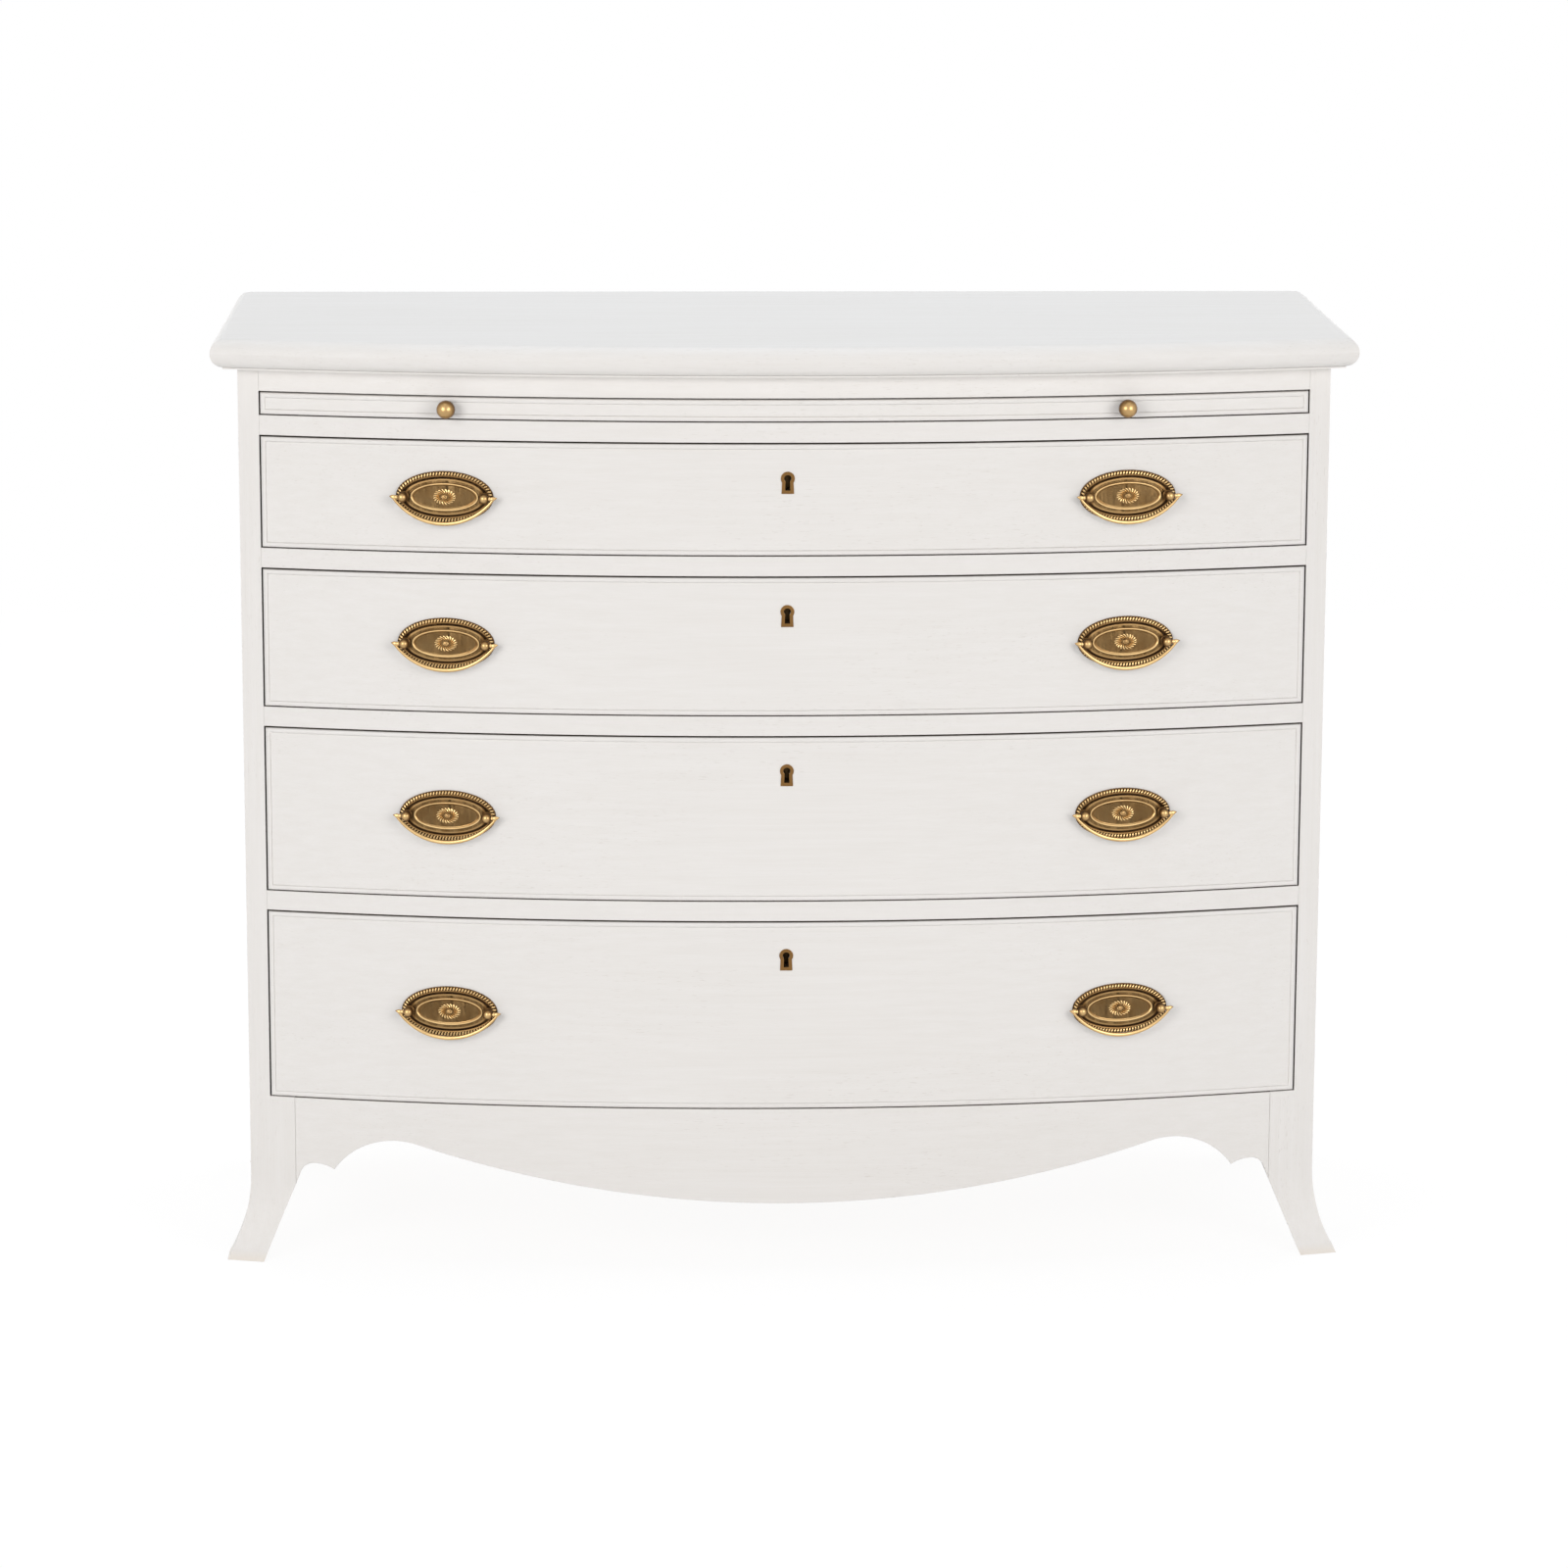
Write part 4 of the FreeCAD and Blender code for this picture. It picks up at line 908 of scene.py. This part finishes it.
def ball_profile(radius, standoff, neck, steps):
    """A ball's profile, from its foremost point to where its neck starts."""
    end = math.pi - math.asin(neck / radius)
    angles = [end * step / steps for step in range(steps + 1)]
    return [(radius * math.sin(angle), -standoff - radius * math.cos(angle)) for angle in angles]


def in_mm(profile):
    return [(radius * MM, depth * MM) for radius, depth in profile]


def paint_shade_backwards(verts, patina_and_shade, start, rate, least, most):
    """Painted shade: brass is made darker the further back it lies, from a depth in mm, at a rate for each mm."""
    for vert in verts:
        vert[patina_and_shade] = min(max((vert.co.y / MM - start) * rate, least), most)


def make_knobs():
    bm = bmesh.new()
    turned(bm, ball_profile(KNOB_BALL, KNOB_STANDOFF, KNOB_NECK, 18) + in_mm(KNOB_FOOT), steps=48)
    face_outwards(bm)
    patina_and_shade = bm.verts.layers.float.new("patina_and_shade")
    # Painted highlight on the front of the ball, painted shade towards its back.
    paint_shade_backwards(bm.verts, patina_and_shade, start=-20, rate=0.07, least=0, most=0.75)
    middle = (slide_low.z + slide_high.z) / 2
    stamped("slide_knobs", as_mesh(bm, "knob"),
            [on_bow(x, middle) for x in (-KNOB_SPACING / 2, KNOB_SPACING / 2)], brass_knob)


make_knobs()

# %% [markdown]
# ## Drawers
#
# Each drawer is a front with its bead, a dovetailed box, a lock and its bolt, and a small plate
# round the keyhole. Its box keeps the construction's exact joints. The sides run deep and the
# back and the bottom run across, so a face's distance from the middle tells its timber.

# %% Drawer fronts, boxes and locks
SIDE_THICKNESS = 12 * MM
BOX_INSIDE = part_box("drawer_1_front")[1].x - SIDE_THICKNESS


def side_or_across(face):
    """1 for a face of a drawer side, and 0 for one of the back or the bottom."""
    return int(abs(face.calc_center_median().x) > BOX_INSIDE - MM / 10)


def make_drawer(level):
    node = f"drawer_{level}_front"
    low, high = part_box(node)
    lock_low, lock_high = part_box(f"drawer_{level}_lock")
    lock = bmesh.new()
    block(lock, lock_low, lock_high + Vector((0, 0, MM)))
    cutters = [cutter(lock, "lock_mortise"), cutter(copy_of(f"drawer_{level}_box"), "joints")]
    cutters += keyhole_cutters(high.z - KEYHOLE_DROP)
    finished(without(front_board(low, high), cutters), node, paint_on_face)
    finished(bead_frame(low, high), f"drawer_{level}_bead", paint_on_face, smooth=50)
    eased(f"drawer_{level}_box", timber_across, timber_deep, size=0.5 * MM, choose=side_or_across)
    eased(f"drawer_{level}_lock", brass_lock, size=0.3 * MM)
    eased(f"lock_bolt_{level}", steel, size=0.4 * MM)
    eased(f"drawer_{level}_escutcheon", brass_key, size=0.6 * MM)


for level in DRAWERS:
    make_drawer(level)

# %% [markdown]
# ## The back plates
#
# The handles are the jewels of the chest. Behind each bail sits an oval plate, cast with a rope
# of small beads round its rim, a hollow band, a raised oval and a flower. Ovals of different
# size, one behind the other, are bridged into the plate's face. Each oval has a depth and a
# number for how dark it is there, from its patina and from painted shade and highlights.

# %% Plate
BORING = 76 * MM                    # between the two posts of a handle
PLATE_STEPS = 96
PLATE_OVALS = (     # half length, half height and depth in mm, and darkness: patina with painted shade and highlights
    (45.5, 24.0, 0.0, 0.7), (45.4, 23.9, -1.1, 0.6), (44.9, 23.4, -1.5, 0.5),
    (44.2, 22.7, -1.4, 0.85), (41.9, 20.4, -1.4, 0.85), (41.2, 19.7, -1.9, 0.2),
    (40.6, 19.1, -1.6, 0.4), (39.9, 18.4, -1.2, 0.55), (38.4, 17.3, -1.2, 0.45),
    (36.9, 16.3, -1.6, 0.25), (35.4, 15.4, -1.6, 0.35), (34.0, 14.6, -1.0, 0.65),
    (32.7, 13.7, -0.9, 1.0), (32.1, 13.2, -1.9, 0.4), (31.5, 12.7, -2.6, -0.1),
    (30.7, 12.0, -2.6, -0.2), (30.0, 11.4, -2.0, 0.2), (29.3, 10.9, -1.7, 0.45),
    (26.3, 10.2, -1.45, 0.2), (22.5, 9.6, -1.3, 0.05), (18.5, 9.0, -1.25, 0.05),
    (15.0, 8.6, -1.25, 0.2), (12.4, 8.2, -1.25, 0.5), (11.4, 7.9, -1.2, 1.1),
    (6.0, 4.2, -1.3, 1.2),
)
# Painted shade: darker beside the posts, with their patina, and at the ends and top of the field; lighter low in
# it as a painted reflection.
PATINA_AND_SHADE_AT_POST, POST_SHADE_REACH = 0.6, 10 * MM
FIELD_LENGTH, FIELD_HEIGHT = 29 * MM, 11 * MM       # half of each, inside the raised oval
FIELD_MIDDLE = 0.3                                  # share of the field under the flower
SHADE_AT_ENDS, END_REACH = 0.1, 22 * MM
SHADE_UPWARDS = 0.025 / MM


def edges_at(verts):
    return list({edge for vert in verts for edge in vert.link_edges})


def oval_loop(bm, half_length, half_height, depth):
    """An oval in the plane of a plate."""
    matrix = (Matrix.Translation((0, depth, 0)) @ FROM_Z_TO_Y @
              Matrix.Diagonal((half_length, half_height, 1, 1)))
    verts = bmesh.ops.create_circle(bm, segments=PLATE_STEPS, radius=1, matrix=matrix)["verts"]
    return verts, edges_at(verts)


def uneven_patina_and_shade(place):
    """Darker beside the posts, from patina and painted shade; in the field, painted shade towards its ends and top
    and a painted reflection low down.
    """
    to_post = math.hypot(abs(place.x) - BORING / 2, place.z)
    dark = PATINA_AND_SHADE_AT_POST * max(1 - to_post / POST_SHADE_REACH, 0)
    inside = (place.x / FIELD_LENGTH) ** 2 + (place.z / FIELD_HEIGHT) ** 2
    if FIELD_MIDDLE < inside < 1:
        dark += SHADE_AT_ENDS * min(abs(place.x) / END_REACH, 1) + SHADE_UPWARDS * place.z
    return dark


def plate_body(bm, patina_and_shade):
    loops = []
    for half_length, half_height, depth, patina_and_shade_level in PLATE_OVALS:
        verts, edges = oval_loop(bm, half_length * MM, half_height * MM, depth * MM)
        for vert in verts:
            vert[patina_and_shade] = patina_and_shade_level + uneven_patina_and_shade(vert.co)
            if depth == 0:      # the rim lies on the bow
                vert.co.y = vert.co.x ** 2 / (2 * BOW_RADIUS)
        loops.append((verts, edges))
    for (_, near), (_, far) in zip(loops, loops[1:]):
        bmesh.ops.bridge_loops(bm, edges=near + far)
    for verts in (loops[0][0], loops[-1][0]):
        bmesh.ops.contextual_create(bm, geom=verts)


# %% [markdown]
# The beads of the rim are the same small shape many times over, so each has only a few dozen
# faces. They are laid out by distance along the oval, not by angle, or they would crowd at its
# ends. A slight slant makes them look like a twisted rope.

# %% Rim beads
RIM_BEADS = 74
RIM_HALF_LENGTH, RIM_HALF_HEIGHT = 43.05 * MM, 21.55 * MM
RIM_DEPTH = 1.45 * MM
RIM_BEAD = (1.02 * MM, 1.3 * MM, 2.05 * MM)      # half its width, height and length
RIM_SLANT = math.radians(20)
# Painted highlight and shade: each bead is painted lighter on top, where it is also rubbed, and darker at its
# waist, with its patina.
RIM_PATINA_AND_SHADE, SHINE = 0.45, 0.8                    # at a bead's waist, and how much less on top


def ball(bm, around, upwards, matrix=Matrix()):
    """A ball of radius 1, placed and stretched by a matrix."""
    return bmesh.ops.create_uvsphere(bm, u_segments=around, v_segments=upwards, radius=1,
                                     matrix=matrix)["verts"]


def evenly_round(half_length, half_height, count, fine=2000):
    """Angles that part an oval into equal lengths."""
    turns = [math.tau * step / fine for step in range(fine)]
    pace = [math.hypot(half_length * math.sin(turn), half_height * math.cos(turn))
            for turn in turns]
    share, gone, found = sum(pace) / count, 0.0, []
    for turn, stretch in zip(turns, pace):
        if gone >= share * len(found):
            found.append(turn)
        gone += stretch
    return found


def rim_beads(bm, patina_and_shade):
    for turn in evenly_round(RIM_HALF_LENGTH, RIM_HALF_HEIGHT, RIM_BEADS):
        x, z = RIM_HALF_LENGTH * math.cos(turn), RIM_HALF_HEIGHT * math.sin(turn)
        outward = math.atan2(RIM_HALF_LENGTH * math.sin(turn), RIM_HALF_HEIGHT * math.cos(turn))
        matrix = (Matrix.Translation((x, -RIM_DEPTH, z)) @
                  Matrix.Rotation(math.pi / 2 - outward + RIM_SLANT, 4, "Y") @
                  Matrix.Diagonal((*RIM_BEAD, 1)))
        for vert in ball(bm, 8, 6, matrix):
            raised = -(vert.co.y + RIM_DEPTH) / RIM_BEAD[1]
            vert[patina_and_shade] = RIM_PATINA_AND_SHADE - SHINE * raised


# %% [markdown]
# The flower is a ring of petals round an oval eye. One petal is a stretched ball that widens
# outwards and leans a little sideways, which gives the flower its swirl. It is made in a round
# flower and then everything is squeezed to an oval, so that all the petals keep their places.

# %% Flower
PETALS = 20
FLOWER_LENGTH, FLOWER_HEIGHT = 11.0 * MM, 7.7 * MM      # half of each
PETAL_MIDDLE, PETAL_HALF = 0.64, 0.36                   # along the flower's radius
PETAL_WIDTH, PETAL_HEIGHT = 0.108, 0.95 * MM
PETAL_TAPER = 0.38                                      # 0 is as wide inside as outside
PETAL_LEAN = math.radians(14)
PETAL_PATINA_AND_SHADE = 0.25
FLOWER_DEPTH = 1.25 * MM
EYE_DEPTH = 1.3 * MM
EYE_BALLS = ((2.7 * MM, 1.9 * MM, 1.0 * MM),            # half of length, height and lift
             (1.5 * MM, 1.05 * MM, 2.0 * MM))
EYE_RING = (2.35 * MM, 1.6 * MM, -2.0 * MM, 0.36 * MM)  # half length and height, depth, wire


def petal(bm, turn, patina_and_shade):
    for vert in ball(bm, 8, 8):
        along, height, side = vert.co.z, vert.co.x, vert.co.y
        radius = PETAL_MIDDLE + PETAL_HALF * along
        width = PETAL_WIDTH * (1 - PETAL_TAPER + PETAL_TAPER * along)
        angle = turn + side * width / PETAL_MIDDLE + PETAL_LEAN * along
        vert.co = (radius * math.cos(angle) * FLOWER_LENGTH, -FLOWER_DEPTH - PETAL_HEIGHT * height,
                   radius * math.sin(angle) * FLOWER_HEIGHT)
        # Painted highlight: each petal is lighter towards its top, where it is also rubbed.
        vert[patina_and_shade] = PETAL_PATINA_AND_SHADE - SHINE * height


def oval_ring(bm, half_length, half_height, depth, thick):
    """A round wire bent to an oval."""
    circle = bmesh.ops.create_circle(bm, segments=8, radius=thick / half_length,
                                     matrix=Matrix.Translation((1, 0, 0)) @ FROM_Z_TO_Y)["verts"]
    before = set(bm.verts) - set(circle)
    bmesh.ops.spin(bm, geom=circle + edges_at(circle), cent=(0, 0, 0), axis=(0, 0, 1),
                   angle=math.tau, steps=48, use_merge=True)
    made = [vert for vert in bm.verts if vert not in before]
    for vert in made:
        vert.co = (vert.co.x * half_length, depth - vert.co.z * half_length,
                   vert.co.y * half_height)
    return made


def flower(bm, patina_and_shade):
    for count in range(PETALS):
        petal(bm, math.tau * count / PETALS, patina_and_shade)
    for length, height, lift in EYE_BALLS:
        matrix = Matrix.Translation((0, -EYE_DEPTH, 0)) @ Matrix.Diagonal((length, lift, height, 1))
        for vert in ball(bm, 24, 12, matrix):
            # Painted highlight in the middle of each eye ball, painted shade round its edge.
            across = math.hypot(vert.co.x / length, vert.co.z / height)
            vert[patina_and_shade] = min(max(across * 1.2 - 0.6, 0), 1)
    for vert in oval_ring(bm, *EYE_RING):
        vert[patina_and_shade] = 0.0


def make_plate():
    bm = bmesh.new()
    patina_and_shade = bm.verts.layers.float.new("patina_and_shade")
    plate_body(bm, patina_and_shade)
    face_outwards(bm)
    rim_beads(bm, patina_and_shade)
    flower(bm, patina_and_shade)
    face_outwards(bm)
    return as_mesh(bm, "plate")


plate = make_plate()
print(f"plate: {len(plate.polygons)} faces")

# %% [markdown]
# ## Posts
#
# Two ball posts hold each bail. They pass through the plate and the drawer front, and a nut
# behind draws everything tight. Turned parts are spun; the nut is the cone operator's prism.

# %% Posts and nuts
BAIL_STANDOFF = 8.5 * MM
POST_BALL, POST_STEM = 4.75 * MM, 2.5 * MM
POST_COLLAR = ((2.4, -3.9), (2.6, -3.2), (3.8, -2.9), (4.6, -2.3), (4.6, -1.2), (2, -1.2),
               (2, 24.5), (1.5, 25), (0, 25))       # radius and depth in mm, to the thread's end
STEM_FROM, STEM_TO = -4.6 * MM, -2.7 * MM
# The stem between ball and collar is dark from patina and painted shade, the collar less so.
STEM_PATINA_AND_SHADE, COLLAR_PATINA_AND_SHADE = 0.85, 0.4
NUT_RADIUS, NUT_THICKNESS = 4.6 * MM, 3.2 * MM


def make_posts():
    bm = bmesh.new()
    patina_and_shade = bm.verts.layers.float.new("patina_and_shade")
    profile = ball_profile(POST_BALL, BAIL_STANDOFF, POST_STEM, 14) + in_mm(POST_COLLAR)
    reach = BORING / 2 + NUT_RADIUS
    seat = BOW_RADIUS - math.sqrt((BOW_RADIUS - BOARD_THICKNESS) ** 2 - reach ** 2)
    for x in (-BORING / 2, BORING / 2):
        turned(bm, profile, 28, middle_x=x)
        nut = rod(bm, 6, NUT_RADIUS, NUT_THICKNESS, middle=(x, seat + NUT_THICKNESS / 2, 0))
        ease(bm, 0.4 * MM, edges=edges_at(nut))
    face_outwards(bm)
    # Painted highlight on the front of each ball, painted shade towards its back.
    paint_shade_backwards(bm.verts, patina_and_shade, start=-13.6, rate=0.18, least=0, most=0.8)
    for vert in bm.verts:
        if vert.co.y > STEM_FROM:
            vert[patina_and_shade] = STEM_PATINA_AND_SHADE if vert.co.y < STEM_TO else COLLAR_PATINA_AND_SHADE
    return as_mesh(bm, "posts")


posts = make_posts()
print(f"posts: {len(posts.polygons)} faces")

# %% [markdown]
# ## Bails
#
# A bail is a bow of wire that is thicker in the middle and ends in two flat points, with a pin
# inside each that goes into a ball. One circle is spun through the arc, and each ring is then
# drawn thinner or thicker by how far it is from the middle.

# %% Bail
BAIL_HALF_SPAN, BAIL_SAG = 47 * MM, 24 * MM
BAIL_MIDDLE, BAIL_END = 1.85 * MM, 1.3 * MM     # radius of the wire
BAIL_SWELL = 1.2                                # above 1, the wire thins sooner to its ends
BAIL_FLATTEN = 0.85                             # depth of the wire, as a share of its height
PIN_RADIUS, PIN_INNER = 1.6 * MM, 34.75 * MM
COLLAR_RADIUS, COLLAR_INNER, COLLAR_WIDTH = 2.1 * MM, 43 * MM, 0.9 * MM
TIP_MIDDLE, TIP_REACH = BAIL_HALF_SPAN - 0.6 * MM, 50.4 * MM
TIP_DEPTH, TIP_HEIGHT, TIP_RISE = 1.7 * MM, 2.1 * MM, 0.9 * MM
TIP_SHARPNESS, TIP_CURVE = 0.75, 1.5


def make_bail():
    bm = bmesh.new()
    radius = (BAIL_HALF_SPAN ** 2 + BAIL_SAG ** 2) / (2 * BAIL_SAG)
    centre = radius - BAIL_SAG
    reach = math.asin(BAIL_HALF_SPAN / radius)
    start = Matrix.Rotation(reach, 4, "Y") @ Matrix.Translation((0, 0, -radius))
    circle = bmesh.ops.create_circle(
        bm, segments=16, radius=1, cap_ends=True,
        matrix=start @ Matrix.Rotation(math.pi / 2, 4, "Y") @
        Matrix.Diagonal((BAIL_END, BAIL_END, 1, 1)))["verts"]
    ring = circle + edges_at(circle) + list({face for vert in circle for face in vert.link_faces})
    bmesh.ops.spin(bm, geom=ring, cent=(0, 0, 0), axis=(0, 1, 0), angle=-2 * reach, steps=44)
    for vert in bm.verts:
        along = math.atan2(vert.co.x, -vert.co.z) / reach
        on_arc = Vector((math.sin(along * reach), 0, -math.cos(along * reach))) * radius
        swell = max(math.cos(along * math.pi / 2), 0) ** BAIL_SWELL
        thickness = BAIL_END + (BAIL_MIDDLE - BAIL_END) * swell
        offset = (vert.co - on_arc) * thickness / BAIL_END
        vert.co = on_arc + Vector((offset.x, offset.y * BAIL_FLATTEN, offset.z))
    bmesh.ops.translate(bm, vec=(0, 0, centre), verts=bm.verts)
    for side in (-1, 1):
        bail_end(bm, side)
    bmesh.ops.translate(bm, vec=(0, -BAIL_STANDOFF, 0), verts=bm.verts)
    face_outwards(bm)
    patina_and_shade = bm.verts.layers.float.new("patina_and_shade")
    # Painted highlight along the front of the wire, painted shade on its sides and back.
    paint_shade_backwards(bm.verts, patina_and_shade, start=-9.586, rate=0.35, least=-0.05, most=0.65)
    return as_mesh(bm, "bail")


def bail_end(bm, side):
    """The pin, its collar and the pointed tip at one end."""
    collar_outer = COLLAR_INNER + COLLAR_WIDTH
    for inner, outer, thick, thick_outside in (
            (PIN_INNER, COLLAR_INNER + MM, PIN_RADIUS, PIN_RADIUS),
            (COLLAR_INNER, collar_outer, COLLAR_RADIUS, COLLAR_RADIUS),
            (collar_outer, BAIL_HALF_SPAN, PIN_RADIUS, BAIL_END * 1.1)):
        rod(bm, 20, thick, outer - inner, middle=(side * (inner + outer) / 2, 0, 0),
            turn=Matrix.Rotation(side * math.pi / 2, 4, "Y"), far_radius=thick_outside)
    for vert in ball(bm, 16, 12):
        out = vert.co.x
        forward = max(out, 0)
        sharp = 1 - TIP_SHARPNESS * forward ** TIP_CURVE
        vert.co = (side * (TIP_MIDDLE + (TIP_REACH - TIP_MIDDLE) * out),
                   vert.co.y * TIP_DEPTH * sharp,
                   vert.co.z * TIP_HEIGHT * sharp + forward * TIP_RISE)


bail = make_bail()
print(f"bail: {len(bail.polygons)} faces")

# %% [markdown]
# ## Hanging the handles
#
# The frame's hinges say where each bail turns and in which direction its axis points. A handle
# is stamped there, so that the plate, the posts and the bail stay together on the bow.

# %% Handles
hinges = {joint["child"]: joint for joint in frame["joints"] if joint["type"] == "hinge"}


def handle_place(hinge):
    """The place on the bow behind a bail's hinge."""
    axis = Vector(hinge["axis"])
    turn = Matrix.Rotation(math.atan2(-axis.y, -axis.x), 4, "Z")
    return Matrix.Translation(hinge["pos_m"]) @ turn @ Matrix.Translation((0, BAIL_STANDOFF, 0))


for level in DRAWERS:
    spots = {hand: handle_place(hinges[f"{hand}_bail_{level}"]) for hand in ("left", "right")}
    stamped(f"drawer_{level}_backplates", plate, spots.values(), brass, smooth=40)
    stamped(f"drawer_{level}_handle_posts", posts, spots.values(), brass, smooth=40)
    for hand, spot in spots.items():
        stamped(f"drawer_{level}_{hand}_bail", bail, [spot], brass, smooth=50)

# %% [markdown]
# ## Studio
#
# The chest stands on a white floor in a bright room. What the camera sees behind it is plain
# white, and so is what metal mirrors. The floor is half paint and half light, so that it stays
# white and still takes a soft shadow under the feet.

# %% Floor and room
WHITE = (1, 1, 1, 1)
FLOOR_LIGHT, FLOOR_GLOW = 0.88, 1.05        # share of light in the mix, and its strength
FLOOR_REACH, FLOOR_DROP = 3.4, 0.2 * MM
SKY = (0.97, 0.98, 1, 1)


def white_floor():
    finish = Finish("white_floor")
    matt = finish.add("BsdfDiffuse", inputs={"Color": tint(240, 240, 240)})
    lit = finish.add("Emission", inputs={"Color": WHITE, "Strength": FLOOR_GLOW})
    mixed = finish.add("MixShader", inputs={0: finish.seen() * FLOOR_LIGHT, 1: matt, 2: lit})
    finish.add("OutputMaterial", inputs={"Surface": mixed})
    return finish.made


bm = bmesh.new()
bmesh.ops.create_grid(bm, x_segments=1, y_segments=1, size=FLOOR_REACH)
floor = in_scene("floor", as_mesh(bm, "floor"))
floor.data.materials.append(white_floor())
floor.location.z = cad_box[0].z - FLOOR_DROP


def room(strength):
    """A world that fills shadows softly, and is plain white to the eye and to metal."""
    finish = Finish("studio", "worlds")
    fill = finish.add("Background", inputs={"Color": SKY, "Strength": strength})
    plain = finish.add("Background", inputs={"Color": WHITE, "Strength": 1.0})
    mixed = finish.add("MixShader", inputs={0: finish.seen(), 1: fill, 2: plain})
    finish.add("OutputWorld", inputs={"Surface": mixed})
    bpy.context.scene.world = finish.made


room(0.28)

# %% [markdown]
# ## Lights and camera
#
# Two large soft boxes stand in front, one on each side, and a weaker one hangs overhead. They
# are as even as a catalogue's, so paint renders as bright as it is mixed. Two more light the
# back. The camera stands five metres away and looks slightly down, which shows the top as a
# narrow band.

# %% Lights
MIDDLE = Vector((0, 0, (cad_box[0].z + cad_box[1].z) / 2))


def aimed(name, data, position, target):
    """A light or a camera that looks from one place to another."""
    thing = in_scene(name, data)
    thing.location = position
    thing.rotation_mode = "QUATERNION"
    thing.rotation_quaternion = (Vector(target) - Vector(position)).to_track_quat("-Z", "Y")
    return thing


WARM, COOL, NEUTRAL = (1.0, 0.985, 0.97), (0.86, 0.93, 1.0), (1, 1, 1)
for name, position, size, power, colour in (
        ("left_box", (-3.0, -4.2, 1.9), 2.6, 101, WARM),
        ("right_box", (2.8, -4.0, 1.8), 2.6, 82, WARM),
        ("overhead_box", (0, 0.4, 3.6), 2.4, 42, COOL),
        ("back_left_box", (-3.4, 3.6, 2.0), 3.2, 60, NEUTRAL),
        ("back_right_box", (3.4, 3.6, 2.0), 3.2, 60, NEUTRAL)):
    light = bpy.data.lights.new(name, "AREA")
    light.shape, light.size, light.energy, light.color = "SQUARE", size, power, colour
    aimed(name, light, position, MIDDLE)
    print(f"{name}: {power} W")

# %% Camera
CAMERA = Vector((-0.169, -5.139, 1.495))
SIGHT = Vector((0.0337, 1, -0.2078))        # towards the middle of the picture
ROLL = math.radians(0.18)
LENS = 124.9                                # in mm, a long one, as for furniture
camera_data = bpy.data.cameras.new("camera")
camera_data.lens = LENS
camera = aimed("camera", camera_data, CAMERA, CAMERA + SIGHT)
camera.rotation_quaternion @= Quaternion((0, 0, 1), ROLL)
scene = bpy.context.scene
scene.camera = camera
scene.view_settings.view_transform = "Standard"

# %% [markdown]
# ## The end
#
# The last cell closes the lesson.

# %% The end
print("the end")
